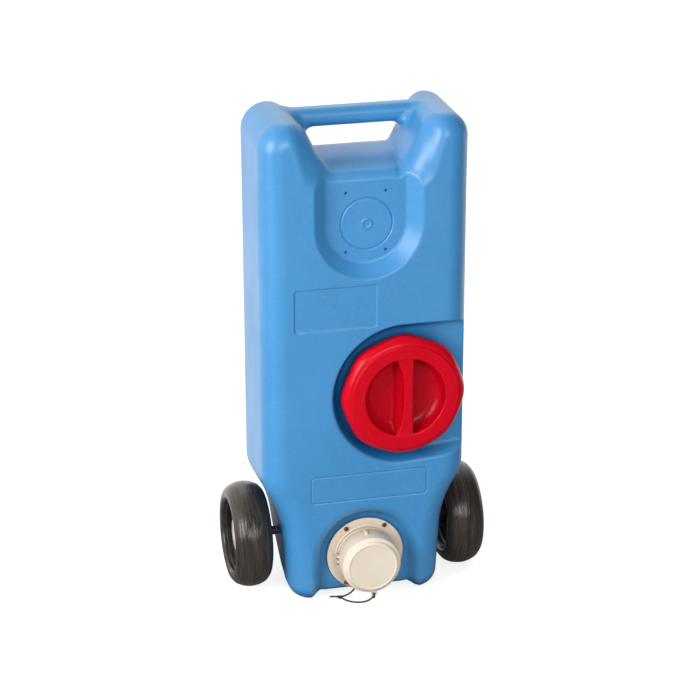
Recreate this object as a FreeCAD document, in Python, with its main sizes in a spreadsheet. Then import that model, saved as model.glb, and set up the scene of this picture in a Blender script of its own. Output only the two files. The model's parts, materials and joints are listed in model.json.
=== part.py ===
import FreeCAD, Part
import Sketcher
import os
from FreeCAD import Vector, Placement, Rotation

# Rolling waste tote: a hollow moulded tank on two wheels, with a large screw
# filler cap and a bayonet drain cap.  Frame: +X to the right, +Y to the back,
# +Z up; origin on the ground under the middle of the whole object.
# All lengths are millimetres.

doc = FreeCAD.newDocument("waste_tote")

# ---------------------------------------------------------------- dimensions
# (alias, value or sheet formula, note).  A formula follows the cells it uses.
DIMS = [
    # tank shell
    ("tank_top", 823.0, "height of the horn tops"),
    ("half_top", 170.0, "half width of the upper body"),
    ("half_foot", 126.0, "half width at the foot"),
    ("half_waist", 134.5, "half width where the shoulder starts"),
    ("waist_z", 149.0, "height where the shoulder starts"),
    ("shoulder_z", 211.0, "height where the body reaches full width"),
    ("front_y", -80.0, "front plane"),
    ("back_y", 110.0, "back plane"),
    ("depth", "=back_y-front_y", "body depth"),
    ("mid_y", "=(front_y+back_y)/2", "body mid depth"),
    ("corner", 38.0, "radius of the long front and back edges"),
    ("horn_corner", 41.0, "radius of the top outer corners"),
    ("foot_corner", 27.0, "radius round the sole of the feet"),
    ("flank", 110.0, "radius of the waist bends"),
    ("bend", 70.0, "radius of the shoulder bends"),
    ("wall", 4.0, "moulded wall"),
    ("belly_z", 10.0, "underside above the ground between the feet"),
    ("foot_in", 78.0, "half width of the raised underside"),
    ("foot_back", -12.0, "rear end of the front feet"),
    ("heel", 54.0, "distance from the axle to the slanted heel"),
    ("heel_slant", 46.38, "slant of the heel, degrees"),
    # top scoop and handle
    ("scoop_half", 66.0, "half width of the scoop at its floor"),
    ("scoop_low", 747.0, "level where the scoop sides start to flare"),
    ("scoop_slope", 27.0, "slope of the scoop sides from vertical, degrees"),
    ("ridge_z", 752.0, "ridge under the handle"),
    ("ridge_y", 46.0, "ridge and handle position"),
    ("ridge_half", 6.0, "half depth of the flat on the ridge"),
    ("crease_z", 735.0, "front crease of the scoop floor"),
    ("rear_z", 733.0, "rear end of the scoop floor"),
    ("floor_shift", 400.0, "offset that keeps the scoop floor sketch at positive values"),
    ("grip_high", 31.0, "handle bar height"),
    ("grip_deep", 34.0, "handle bar depth"),
    ("grip_top", 818.0, "handle bar top"),
    ("grip_past", 34.0, "handle bar length past the scoop half width, each end"),
    ("grip_round", 13.0, "handle bar edge radius"),
    # front accessory recess
    ("recess_x", 2.0, "recess centre line"),
    ("recess_z", 653.0, "centre of the recess bow"),
    ("recess_out", 88.0, "recess half width at the front plane"),
    ("recess_in", 67.0, "recess half width at its floor"),
    ("recess_deep", 22.0, "recess depth"),
    ("recess_floor_y", "=front_y+recess_deep", "recess floor plane"),
    ("ring_z", "=recess_z-1", "centre of the ring groove and nub"),
    ("accessory_z", "=recess_z+2", "centre of the recess screw pattern"),
    ("ring_rad", 43.8, "ring groove radius"),
    ("ring_wide", 1.6, "ring groove width"),
    ("ring_deep", 1.0, "ring groove depth"),
    ("nub_rad", 9.0, "centre nub radius"),
    ("nub_high", 1.2, "centre nub height"),
    ("pilot_dx", 65.0, "screw pattern width"),
    ("pilot_dz", 98.0, "screw pattern height"),
    ("pilot_rad", 1.6, "pilot hole radius of the accessory recess"),
    ("pilot_deep", 9.0, "pilot hole depth"),
    ("boss_rad", 6.0, "screw boss radius"),
    ("boss_deep", 16.0, "screw boss depth behind the wall face"),
    # filler pocket and neck
    ("cap_x", 59.0, "filler axis x"),
    ("cap_z", 363.0, "filler axis z"),
    ("pocket_rad", 121.7, "pocket radius at the front plane"),
    ("pocket_floor_rad", 110.0, "pocket radius at its floor"),
    ("pocket_deep", 25.0, "pocket depth"),
    ("pocket_floor_y", "=front_y+pocket_deep", "pocket floor plane"),
    ("pocket_dx", 4.0, "pocket centre beside the filler axis"),
    ("pocket_dz", 1.7, "pocket centre below the filler axis"),
    ("pocket_top", 482.5, "pocket upper side where it runs out to the flank"),
    ("pocket_low", 246.5, "pocket lower side where it runs out to the flank"),
    ("neck_out", 83.0, "neck outer radius"),
    ("neck_in", 76.0, "neck bore radius"),
    ("neck_high", 33.0, "neck height above the pocket floor"),
    ("thread_out", 84.6, "neck thread bead radius"),
    ("bead_sink", 0.4, "depth of the bead centre line inside the neck surface"),
    ("bead_first", 13.0, "first thread bead above the pocket floor"),
    ("bead_pitch", 7.0, "spacing of the thread beads"),
    # drain arch
    ("arch_rad", 86.0, "arch radius at the front plane"),
    ("arch_in", 71.0, "arch radius at its floor"),
    ("drain_z", 75.0, "drain axis height"),
    ("arch_z", "=drain_z", "arch centre height, on the drain axis"),
    ("arch_deep", 20.0, "arch depth"),
    ("arch_floor_y", "=front_y+arch_deep", "arch floor plane"),
    ("drain_hole", 39.5, "hole in the tank wall behind the drain flange"),
    # label fields
    ("label_deep", 0.8, "depth of both label fields"),
    ("panel_x", -120.0, "upper panel left edge"),
    ("panel_z", 483.5, "upper panel lower edge"),
    ("panel_wide", 135.5, "upper panel width"),
    ("panel_high", 71.5, "upper panel height"),
    ("frame_x", -94.5, "lower frame left edge"),
    ("frame_z", 181.0, "lower frame lower edge"),
    ("frame_wide", 196.0, "lower frame width"),
    ("frame_high", 47.5, "lower frame height"),
    ("frame_line", 1.4, "lower frame groove width"),
    # axle and wheels
    ("wheel_rad", 89.0, "wheel radius"),
    ("axle_y", 30.0, "axle position"),
    ("axle_z", "=wheel_rad", "axle height, equal to the wheel radius"),
    ("axle_rad", 6.0, "axle radius"),
    ("axle_half", 194.0, "half length of the axle"),
    ("tunnel_in", 6.5, "axle tunnel bore radius"),
    ("tunnel_out", 12.0, "axle tunnel outer radius"),
    ("tunnel_half", 130.5, "half length of the axle tunnel"),
    ("track_half", 180.0, "wheel centre plane from the middle"),
    ("wheel_half", 30.0, "half width of the wheel"),
    ("tyre_side", 64.0, "outer side of the tyre from its inner side"),
    ("tyre_in", 61.0, "tyre seat radius"),
    ("rim_in", 56.5, "inside radius of the rim band"),
    ("rim_inset", 5.0, "rim band edge from the side of the wheel"),
    ("hub_rad", 15.0, "hub tube radius"),
    ("hub_bore", 6.05, "hub bore radius, running on the axle"),
    ("hub_end", 7.0, "hub end outboard of the wheel centre plane"),
    ("web_half", 3.0, "half thickness of the wheel web"),
    ("win_rad", 9.2, "radius of the web windows"),
    ("win_ring", 44.5, "pitch radius of the web windows"),
    ("hubcap_rad", 33.0, "hub cap radius"),
    ("hubcap_top", 23.0, "hub cap crown outboard of the wheel centre plane"),
    ("spacer_from", 132.0, "inner end of the wheel spacer"),
    ("spacer_rad", 7.4, "wheel spacer radius"),
    ("washer_rad", 13.0, "washer radius"),
    ("washer_bore", 6.3, "washer bore radius"),
    # filler cap
    ("lobe_rad", 109.0, "corner radius of the eight-lobed skirt before rounding"),
    ("lobe_back", 99.0, "skirt radius at its rear edge"),
    ("lobe_from", 20.0, "height of the fullest part of the lobes, lower end"),
    ("lobe_to", 27.0, "height of the fullest part of the lobes, upper end"),
    ("lobe_round", 26.0, "rounding of the lobes"),
    ("skirt_low", 5.0, "skirt edge above the pocket floor"),
    ("ring_out", 89.0, "outer radius of the cap face ring"),
    ("face_high", 44.0, "cap face above the pocket floor"),
    ("cap_room", 86.0, "inside radius of the skirt"),
    ("cap_ceiling", 36.4, "inside of the cap face above the pocket floor"),
    ("finger_rad", 68.0, "finger pocket radius"),
    ("finger_floor", 16.0, "finger pocket floor above the pocket floor"),
    ("cup_wall", 3.5, "wall of the finger cup"),
    ("cup_rad", "=finger_rad+cup_wall", "outside radius of the finger cup"),
    ("cup_low", "=finger_floor-cup_wall", "underside of the cup above the pocket floor"),
    ("bar_wide", 14.0, "grip bar width"),
    ("bar_end", 26.0, "grip bar width at its ends"),
    ("flare_from", 32.0, "start of the grip bar flare from the cap axis"),
    # drain flange and cap
    ("flange_rad", 65.2, "flange radius"),
    ("flange_thick", 5.0, "flange thickness"),
    ("flange_gap", 1.0, "flange gasket thickness"),
    ("flange_top", "=flange_gap+flange_thick", "flange face above the arch floor"),
    ("flange_round", 1.5, "flange edge rounding"),
    ("flange_tail", 12.0, "flange tail behind the arch floor"),
    ("spigot_out", 42.0, "spigot outer radius"),
    ("spigot_in", 37.0, "spigot bore radius"),
    ("spigot_end", 46.0, "spigot end above the arch floor"),
    ("eye_rad", 2.4, "cord eye radius in the flange"),
    ("eye_x", -17.0, "cord eye position"),
    ("eye_drop", 56.0, "cord eye below the drain axis"),
    ("dcap_rad", 49.5, "drain cap skirt radius"),
    ("dcap_in", 45.5, "drain cap inside radius"),
    ("dcap_low", 8.0, "drain cap skirt edge above the arch floor"),
    ("dcap_step", 50.0, "drain cap shoulder above the arch floor"),
    ("dcap_face_rad", 40.0, "drain cap face radius"),
    ("dcap_face", 59.0, "drain cap face above the arch floor"),
    ("dcap_ceiling", 48.4, "drain cap inside face above the arch floor"),
    ("lug_thick", 5.0, "drain cap lug thickness"),
    ("lug_high", 7.0, "drain cap lug size along the cap radius"),
    ("tab_x", 3.0, "cord tab position"),
    ("tab_rad", 5.5, "cord tab radius"),
    ("tab_hole", 2.2, "cord tab hole radius"),
    ("tab_thick", 3.0, "cord tab thickness"),
    ("screw_rad", 2.0, "screw shank radius"),
    ("screw_head", 3.5, "screw head radius"),
    ("screw_long", 14.0, "screw length below the head"),
    ("screw_hole", 2.05, "screw hole radius"),
    ("slot_long", 3.4, "length of the crossed slots in the screw head"),
    ("slot_wide", 0.9, "width of the slots"),
    ("slot_from", 1.4, "slot floor above the underside of the head"),
    # retaining cord
    ("cord_rad", 1.5, "cord radius"),
    ("knot_rad", 3.4, "knot radius"),
]
BEADS = 3
WINDOWS = 8
LOBES = 8

sheet = doc.addObject("Spreadsheet::Sheet", "dims")
ALIASES = set()
for row, (alias, value, note) in enumerate(DIMS, start=1):
    sheet.set("A%d" % row, note)
    sheet.set("B%d" % row, str(value))
    sheet.setAlias("B%d" % row, alias)
    ALIASES.add(alias)
doc.recompute()


def ref(text):
    """Turn words that are sheet aliases into references to the sheet."""
    out, word = "", ""
    for char in text + " ":
        if char.isalnum() or char == "_":
            word += char
        else:
            out += ("dims." + word if word in ALIASES else word) + char
            word = ""
    return out.strip()


def evaluate(text):
    """Present value of a dimension expression."""
    return float(sheet.evalExpression(ref(text)))


# ---------------------------------------------------------------- helpers
UP = Rotation()
OUT_FRONT = Rotation(Vector(1, 0, 0), 90)     # local Z points to the front (-Y)
OUT_RIGHT = Rotation(Vector(0, 1, 0), 90)     # local Z points to the right (+X)
OUT_LEFT = Rotation(Vector(0, 1, 0), -90)     # local Z points to the left (-X)
HALF_TURN = Rotation(Vector(0, 0, 1), 180)    # local Y points to the front


def place(obj, pos, rot=UP):
    obj.Placement = Placement(Vector(0, 0, 0), rot)
    for axis, text in zip("xyz", pos):
        if text != "0":
            obj.setExpression("Placement.Base." + axis, ref(text))
    return obj


def prim(kind, name, sizes, pos, rot=UP):
    """Part primitive; sizes given as text are bound to the sheet."""
    obj = doc.addObject(kind, name)
    for key, size in sizes.items():
        if isinstance(size, str):
            obj.setExpression(key, ref(size))
        else:
            setattr(obj, key, size)
    return place(obj, pos, rot)


def cyl(name, rad, high, pos, rot=OUT_FRONT):
    return prim("Part::Cylinder", name, {"Radius": rad, "Height": high}, pos, rot)


def cone(name, rad_from, rad_to, high, pos):
    return prim("Part::Cone", name, {"Radius1": rad_from, "Radius2": rad_to, "Height": high},
                pos, OUT_FRONT)


def box(name, size, pos, rot=UP):
    return prim("Part::Box", name, dict(zip(("Length", "Width", "Height"), size)), pos, rot)


def wedge(name, half_from, half_to, deep, low, high, pos, rot):
    """Block along local Y whose half width runs from half_from to half_to."""
    sizes = {"Xmin": f"-({half_from})", "Xmax": half_from,
             "X2min": f"-({half_to})", "X2max": half_to,
             "Ymin": "0", "Ymax": deep,
             "Zmin": low, "Z2min": low, "Zmax": high, "Z2max": high}
    return prim("Part::Wedge", name, sizes, pos, rot)


def cut(name, base, tool):
    obj = doc.addObject("Part::Cut", name)
    obj.Base = base
    obj.Tool = tool
    return obj


def gather(kind, name, items):
    obj = doc.addObject(kind, name)
    obj.Shapes = list(items)
    return obj


def fuse(name, *items):
    return gather("Part::MultiFuse", name, items)


def common(name, *items):
    return gather("Part::MultiCommon", name, items)


def outline(body, name, pts, mirror=False, role="XZ_Plane"):
    """Closed polygon sketch; each point's two coordinates are bound to the sheet.
    With mirror, the points are the right half and the left half is symmetric."""
    sketch = body.newObject("Sketcher::SketchObject", name)
    plane = next(feat for feat in body.Origin.OriginFeatures if feat.Role == role)
    sketch.AttachmentSupport = [(plane, "")]
    sketch.MapMode = "FlatFace"
    spots = [(evaluate(across), evaluate(up)) for across, up in pts]
    ring = list(spots)
    if mirror:
        ring += [(-x, y) for x, y in reversed(spots)]
    count = len(ring)
    for i in range(count):
        start, end = Vector(*ring[i], 0), Vector(*ring[(i + 1) % count], 0)
        sketch.addGeometry(Part.LineSegment(start, end), False)
    for i in range(count):
        sketch.addConstraint(Sketcher.Constraint("Coincident", i, 2, (i + 1) % count, 1))
    for i, texts in enumerate(pts):
        # geometry -2 is the vertical axis, -1 the horizontal axis
        for letter, text, value, axis in zip("XY", texts, spots[i], (-2, -1)):
            if text == "0":
                sketch.addConstraint(Sketcher.Constraint("PointOnObject", i, 1, axis))
                continue
            number = sketch.addConstraint(
                Sketcher.Constraint("Distance" + letter, -1, 1, i, 1, value))
            tag = "p%d%s" % (i, letter.lower())
            sketch.renameConstraint(number, tag)
            sketch.setExpression("Constraints." + tag, ref(text))
    if mirror:
        for i in range(len(pts)):
            sketch.addConstraint(Sketcher.Constraint("Symmetric", i, 1, count - 1 - i, 1, -2))
    return sketch


def pad_both_ways(body, sketch, name, length):
    """Pad spread evenly to both sides of the sketch plane."""
    pad = body.newObject("PartDesign::Pad", name)
    pad.Profile = sketch
    pad.setExpression("Length", ref(length))
    # the property for a symmetric pad depends on the FreeCAD release
    if "SideType" in pad.PropertiesList:
        pad.SideType = "Symmetric"
    else:
        pad.Midplane = True
    body.Tip = pad
    return pad


def edge_numbers(obj, pick):
    doc.recompute()
    numbers = [n for n, edge in enumerate(obj.Shape.Edges, start=1) if pick(edge)]
    if not numbers:
        raise RuntimeError("no edges to round on " + obj.Name)
    return numbers


def round_feature(body, base, name, rad, pick):
    """PartDesign fillet on the edges of base that pick accepts."""
    numbers = edge_numbers(base, pick)
    fillet = body.newObject("PartDesign::Fillet", name)
    fillet.Base = (base, ["Edge%d" % n for n in numbers])
    fillet.setExpression("Radius", ref(rad))
    body.Tip = fillet
    return fillet


def round_part(name, base, rad, pick):
    """Part fillet on the edges of base that pick accepts."""
    size = evaluate(rad)
    numbers = edge_numbers(base, pick)
    fillet = doc.addObject("Part::Fillet", name)
    fillet.Base = base
    fillet.Edges = [(n, size, size) for n in numbers]
    return fillet


def lathe(name, pts, pos, rot, rounded=None):
    """Turned body: polygon of (radius, height) about local Z.  rounded is
    (fillet radius, radius of the circular edge, height of that edge)."""
    body = doc.addObject("PartDesign::Body", name)
    sketch = outline(body, name + "_profile", pts)
    turned = body.newObject("PartDesign::Revolution", name + "_turned")
    turned.Profile = sketch
    turned.ReferenceAxis = (sketch, ["V_Axis"])
    turned.Angle = 360.0
    body.Tip = turned
    if rounded:
        fillet_rad, edge_rad, edge_high = rounded
        want_rad, want_high = evaluate(edge_rad), evaluate(edge_high)

        def pick(edge):
            curve = edge.Curve
            if not hasattr(curve, "Radius") or not hasattr(curve, "Center"):
                return False
            return (abs(curve.Radius - want_rad) < 0.02
                    and abs(curve.Center.z - want_high) < 0.02)

        round_feature(body, turned, name + "_round0", fillet_rad, pick)
    return place(body, pos, rot)


def band(name, inner, outer, low, high, pos, rot=OUT_FRONT):
    """Turned ring of rectangular section."""
    pts = [(inner, low), (outer, low), (outer, high), (inner, high)]
    return lathe(name, pts, pos, rot)


def cap_at(high):
    """Point on the filler axis, high above the pocket floor."""
    return ("cap_x", f"pocket_floor_y-({high})", "cap_z")


def drain_at(high):
    """Point on the drain axis, high above the arch floor."""
    return ("0", f"arch_floor_y-({high})", "drain_z")


def screw_spots(mid_x="0", mid_z="drain_z"):
    """x and z of the four corners of the screw pattern."""
    return [(f"{mid_x}+{side}*pilot_dx/2", f"{mid_z}+{level}*pilot_dz/2")
            for side, level in ((-1, -1), (1, -1), (1, 1), (-1, 1))]


def at_screws(name, rad, high, y, spots):
    """Cylinders running forward from y at the corners of the screw pattern."""
    return [cyl(name + str(k), rad, high, (x, y, z)) for k, (x, z) in enumerate(spots)]


# ---------------------------------------------------------------- tank
def shell(name, inset, floor):
    """Tank outline pad with rounded corners; inset shrinks it all round."""
    body = doc.addObject("PartDesign::Body", name)
    top = f"tank_top-{inset}"
    # (half width, height)
    sketch = outline(body, name + "_outline", [
        (f"half_foot-{inset}", floor),
        (f"half_waist-{inset}", "waist_z"),
        (f"half_top-{inset}", "shoulder_z"),
        (f"half_top-{inset}", top),
    ], mirror=True)
    last = pad_both_ways(body, sketch, name + "_pad", f"depth-2*{inset}")

    def across_at(level_text):
        """Edges along Y at one level."""
        level = evaluate(level_text)

        def pick(edge):
            start, end = edge.Vertexes[0].Point, edge.Vertexes[-1].Point
            return (abs(start.x - end.x) < 1e-6 and abs(start.z - end.z) < 1e-6
                    and abs(start.z - level) < 0.01)
        return pick

    half = evaluate(f"depth/2-{inset}")
    low = evaluate(floor)

    def rim(edge):
        """Front and back face edges, except along the floor."""
        bounds = edge.BoundBox
        flat = abs(bounds.YMax - bounds.YMin) <= 1e-6
        return flat and abs(abs(bounds.YMax) - half) <= 0.01 and bounds.ZMax > low + 0.01

    def sole(edge):
        bounds = edge.BoundBox
        return abs(bounds.ZMax - low) < 1e-6 and abs(bounds.ZMin - low) < 1e-6

    for suffix, rad, pick in (
            ("_flank", "flank", across_at("waist_z")),
            ("_bend", "bend", across_at("shoulder_z")),
            ("_horns", f"horn_corner-{inset}", across_at(top)),
            ("_edges", f"corner-{inset}", rim),
            ("_foot", "foot_corner", sole)):
        last = round_feature(body, last, name + suffix, rad, pick)
    return place(body, ("0", "mid_y", "0"))


# Tools that shape the outside.  grow thickens a tool, to leave the wall
# standing when the same tool is taken out of the inner space.
def scoop(name, grow):
    """Saddle between the horns: flaring sides, floor falling to the front and back."""
    sides = doc.addObject("PartDesign::Body", name)
    # (half width, height)
    sketch = outline(sides, name + "_sides", [
        (f"scoop_half+{grow}", "crease_z-60"),
        (f"scoop_half+{grow}", "scoop_low"),
        (f"scoop_half+{grow}+(tank_top+40-scoop_low)*tan(scoop_slope*1deg)", "tank_top+40"),
    ], mirror=True)
    pad_both_ways(sides, sketch, name + "_pad", "depth+80")
    place(sides, ("0", "mid_y", "0"))
    # the space above the two falling planes of the floor
    above = doc.addObject("PartDesign::Body", name + "_floor")
    # (y, height); y is shifted to stay positive
    profile = [
        ("recess_floor_y-12", "tank_top+60"),
        ("front_y-40", "tank_top+60"),
        ("front_y-40", f"crease_z-{grow}"),
        ("recess_floor_y", f"crease_z-{grow}"),
        ("ridge_y-ridge_half", f"ridge_z-{grow}"),
        ("ridge_y+ridge_half", f"ridge_z-{grow}"),
        ("back_y", f"rear_z-{grow}"),
        ("back_y+60", f"rear_z-{grow}"),
        ("back_y+60", "tank_top+60"),
    ]
    sketch = outline(above, name + "_floor_outline",
                     [("floor_shift+" + y, z) for y, z in profile], role="YZ_Plane")
    pad_both_ways(above, sketch, name + "_floor_pad", "400")
    place(above, ("0", "-floor_shift", "0"))
    return common(name + "_tool", sides, above)


def recess(name, grow):
    """Front accessory recess: a bow below, straight sides above, sloping walls.
    The slope is carried on until it is 40 wider than at the front plane."""
    near, far = f"recess_in+{grow}", f"recess_out+40+{grow}"
    deep = "(recess_out-recess_in+40)*recess_deep/(recess_out-recess_in)"
    pos = ("recess_x", f"recess_floor_y+{grow}", "recess_z")
    bow = cone(name + "_bow", near, far, deep, pos)
    sides = wedge(name + "_sides", near, far, deep, "0", "crease_z+14-recess_z", pos, HALF_TURN)
    return fuse(name + "_tool", bow, sides)


def pocket(name, grow):
    """Filler pocket: slightly conical bowl that runs out to the right flank."""
    bowl = cone(name + "_bowl", f"pocket_floor_rad+{grow}",
                f"2*pocket_rad-pocket_floor_rad+{grow}", "2*pocket_deep",
                ("cap_x+pocket_dx", f"pocket_floor_y+{grow}", "cap_z-pocket_dz"))
    side = box(name + "_side", ("200", "pocket_deep+40", f"pocket_top-pocket_low+2*{grow}"),
               ("cap_x+pocket_dx", f"front_y-40+{grow}", f"pocket_low-{grow}"))
    return fuse(name + "_tool", bowl, side)


def arch(name, grow):
    """Drain arch: round top on the drain axis, sloping wall, open to the ground."""
    near, far = f"arch_in+{grow}", f"arch_rad+3*(arch_rad-arch_in)+{grow}"
    pos = ("0", f"arch_floor_y+{grow}", "arch_z")
    bow = cone(name + "_bow", near, far, "4*arch_deep", pos)
    legs = wedge(name + "_legs", near, far, "4*arch_deep", "-arch_z-40", "0", pos, HALF_TURN)
    return fuse(name + "_tool", bow, legs)


def heel(name, dist):
    """Everything behind and below a slanted plane, at a distance from the axle."""
    return box(name + "_tool", ("600", "300", "600"),
               ("-300",
                f"axle_y+({dist})*cos(heel_slant*1deg)-300*sin(heel_slant*1deg)",
                f"axle_z-({dist})*sin(heel_slant*1deg)-300*cos(heel_slant*1deg)"),
               Rotation(Vector(1, 0, 0), -evaluate("heel_slant")))


def belly():
    """Clears the underside between the front feet and behind them."""
    mid = box("belly_mid", ("2*foot_in", "400", "belly_z+40"), ("-foot_in", "front_y-100", "-40"))
    rear = box("belly_rear", ("600", "300", "belly_z+40"), ("-300", "foot_back", "-40"))
    return fuse("belly_tool", mid, rear)


def handle():
    block = box("grip_block", ("2*(scoop_half+grip_past)", "grip_deep", "grip_high"),
                ("-scoop_half-grip_past", "ridge_y-grip_deep/2", "grip_top-grip_high"))
    return round_part("grip_bar", block, "grip_round", lambda edge: edge.BoundBox.XLength > 100)


def axle_tunnel(name, rad, past):
    """Cylinder on the axle line, past longer than the tunnel at each end."""
    return cyl(name, rad, f"2*tunnel_half+2*{past}", (f"-tunnel_half-{past}", "axle_y", "axle_z"),
               OUT_RIGHT)


def tank_outside(outer):
    """Outer form of the tank, with everything that stands out from it."""
    scooped = cut("outside_a", outer, scoop("scoop", "0"))
    handled = fuse("outside_b", scooped, handle())
    tools = fuse("outside_tools", recess("recess", "0"), pocket("pocket", "0"),
                 arch("arch", "0"), heel("heel_out", "heel"), belly())
    shaped = cut("outside_c", handled, tools)
    neck = cyl("neck_wall", "neck_out", "neck_high+2", cap_at("-2"))
    beads = [prim("Part::Torus", "neck_bead%d" % k,
                  {"Radius1": "neck_out-bead_sink", "Radius2": "thread_out-neck_out+bead_sink"},
                  cap_at(f"bead_first+{k}*bead_pitch"), OUT_FRONT) for k in range(BEADS)]
    tunnel = axle_tunnel("tunnel_wall", "tunnel_out", "0")
    nub = cyl("recess_nub", "nub_rad", "nub_high+1", ("recess_x", "recess_floor_y+1", "ring_z"))
    return fuse("outside_d", shaped, neck, *beads, tunnel, nub)


def tank_space(inner):
    """Inner space: the shrunken shell less everything that stands into it."""
    bosses = []
    for tag, floor_y, spots in (("acc", "recess_floor_y", screw_spots("recess_x", "accessory_z")),
                                ("drn", "arch_floor_y", screw_spots())):
        bosses += at_screws("boss_" + tag, "boss_rad", "boss_deep", floor_y + "+boss_deep", spots)
    solids = fuse("inside_tools", scoop("scoop_in", "wall"), recess("recess_in", "wall"),
                  pocket("pocket_in", "wall"), arch("arch_in", "wall"),
                  heel("heel_in", "heel-wall"), axle_tunnel("tunnel_solid", "tunnel_out", "0"),
                  *bosses)
    return cut("inner_space", inner, solids)


def ring_groove():
    tools = [cyl(name, rad, "ring_deep+" + past, ("recess_x", "recess_floor_y+" + start, "ring_z"))
             for name, rad, past, start in (
                 ("ring_outer", "ring_rad+ring_wide/2", "5", "ring_deep"),
                 ("ring_inner", "ring_rad-ring_wide/2", "9", "ring_deep+2"))]
    return cut("ring_groove", *tools)


def label_fields():
    """Upper label field, a shallow sunk panel; lower field, a fine groove frame."""
    panel = box("panel_upper", ("panel_wide", "label_deep+5", "panel_high"),
                ("panel_x", "front_y-5", "panel_z"))
    line_out = box("line_outer", ("frame_wide", "label_deep+5", "frame_high"),
                   ("frame_x", "front_y-5", "frame_z"))
    line_in = box("line_inner",
                  ("frame_wide-2*frame_line", "label_deep+9", "frame_high-2*frame_line"),
                  ("frame_x+frame_line", "front_y-7", "frame_z+frame_line"))
    return panel, cut("line_lower", line_out, line_in)


def make_tank():
    outer = shell("shell_outer", "0", "0")
    inner = shell("shell_inner", "wall", "belly_z+wall")
    outside = tank_outside(outer)
    space = tank_space(inner)
    neck_bore = cyl("neck_bore", "neck_in", "neck_high+40", cap_at("-20"))
    drain_bore = cyl("drain_bore", "drain_hole", "40", drain_at("-20"))
    axle_bore = axle_tunnel("axle_bore", "tunnel_in", "10")
    pilots = at_screws("pilot_acc", "pilot_rad", "pilot_deep+6", "recess_floor_y+pilot_deep",
                       screw_spots("recess_x", "accessory_z"))
    pilots += at_screws("pilot_drn", "screw_hole", "screw_long+6", "arch_floor_y+screw_long",
                        screw_spots())
    cuts = fuse("tank_cuts", space, neck_bore, drain_bore, axle_bore, ring_groove(),
                *label_fields(), *pilots)
    return cut("tank_body", outside, cuts)


# ---------------------------------------------------------------- filler cap
def grip_bar():
    """Upright bar across the finger pocket, flaring towards its ends."""
    mid = box("bar_mid", ("bar_wide", "face_high+20", "2*finger_rad+20"),
              ("cap_x-bar_wide/2", "pocket_floor_y-face_high-10", "cap_z-finger_rad-10"))
    flares = [wedge(name, "bar_wide/2", "bar_end/2", "finger_rad-flare_from+2", low, high,
                    ("cap_x", "pocket_floor_y", start), rot)
              for name, low, high, start, rot in (
                  ("bar_flare_up", "0", "face_high+8", "cap_z+flare_from", OUT_FRONT),
                  ("bar_flare_low", "-face_high-8", "0", "cap_z-flare_from",
                   Rotation(Vector(1, 0, 0), -90)))]
    return fuse("grip_bar_whole", mid, *flares)


def make_fill_cap():
    octagon = prim("Part::Prism", "cap_octagon",
                   {"Polygon": LOBES, "Circumradius": "lobe_rad", "Height": "face_high-skirt_low"},
                   cap_at("skirt_low"), OUT_FRONT)
    lobes = round_part("cap_lobes", octagon, "lobe_round",
                       lambda edge: edge.BoundBox.YLength > 10)
    # (radius, height above the pocket floor)
    crown = lathe("cap_crown", [
        ("0", "skirt_low"), ("lobe_back", "skirt_low"),
        ("lobe_rad-0.5", "lobe_from"), ("lobe_rad-0.5", "lobe_to"),
        ("ring_out+1.5", "face_high-3"), ("ring_out-2", "face_high"), ("0", "face_high"),
    ], cap_at("0"), OUT_FRONT)
    outside = common("cap_outside", lobes, crown)
    room = cyl("cap_room_tool", "cap_room", "cap_ceiling+2", cap_at("-2"))
    hollow = cut("cap_shell", outside, room)
    cup = cyl("cap_cup", "cup_rad", "face_high-cup_low-1", cap_at("cup_low"))
    finger = cyl("finger_room", "finger_rad", "face_high", cap_at("finger_floor"))
    finger_rooms = cut("finger_rooms", finger, grip_bar())
    return cut("fill_cap", fuse("cap_joined", hollow, cup), finger_rooms)


def make_fill_gasket():
    return band("fill_gasket", "neck_in+1", "neck_out-0.3", "neck_high+0.1", "cap_ceiling-0.2",
                cap_at("0"))


# ---------------------------------------------------------------- drain
def make_drain_flange():
    # (radius, height above the arch floor)
    disc = lathe("drain_flange_disc", [
        ("spigot_in", "flange_gap"), ("flange_rad", "flange_gap"), ("flange_rad", "flange_top"),
        ("spigot_out+3", "flange_top"), ("spigot_out", "flange_top+1"),
        ("spigot_out", "spigot_end"), ("spigot_in", "spigot_end"),
    ], drain_at("0"), OUT_FRONT, rounded=("flange_round", "flange_rad", "flange_top"))
    tail = cyl("flange_tail", "drain_hole-0.3", "flange_tail+flange_gap+1",
               drain_at("-flange_tail"))
    tail_bore = cyl("flange_tail_bore", "spigot_in", "30", drain_at("-flange_tail-2"))
    holes = at_screws("flange_hole", "screw_hole", "20", "arch_floor_y+5", screw_spots())
    eye = cyl("cord_eye", "eye_rad", "20", ("eye_x", "arch_floor_y+5", "drain_z-eye_drop"))
    return cut("drain_flange", fuse("flange_joined", disc, tail),
               fuse("flange_cuts", tail_bore, eye, *holes))


def make_flange_gasket():
    ring = band("flange_pad_ring", "drain_hole+1", "flange_rad-1", "0", "flange_gap",
                drain_at("0"))
    holes = at_screws("pad_hole", "screw_hole+0.3", "20", "arch_floor_y+5", screw_spots())
    return cut("flange_gasket", ring, fuse("pad_cuts", *holes))


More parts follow.
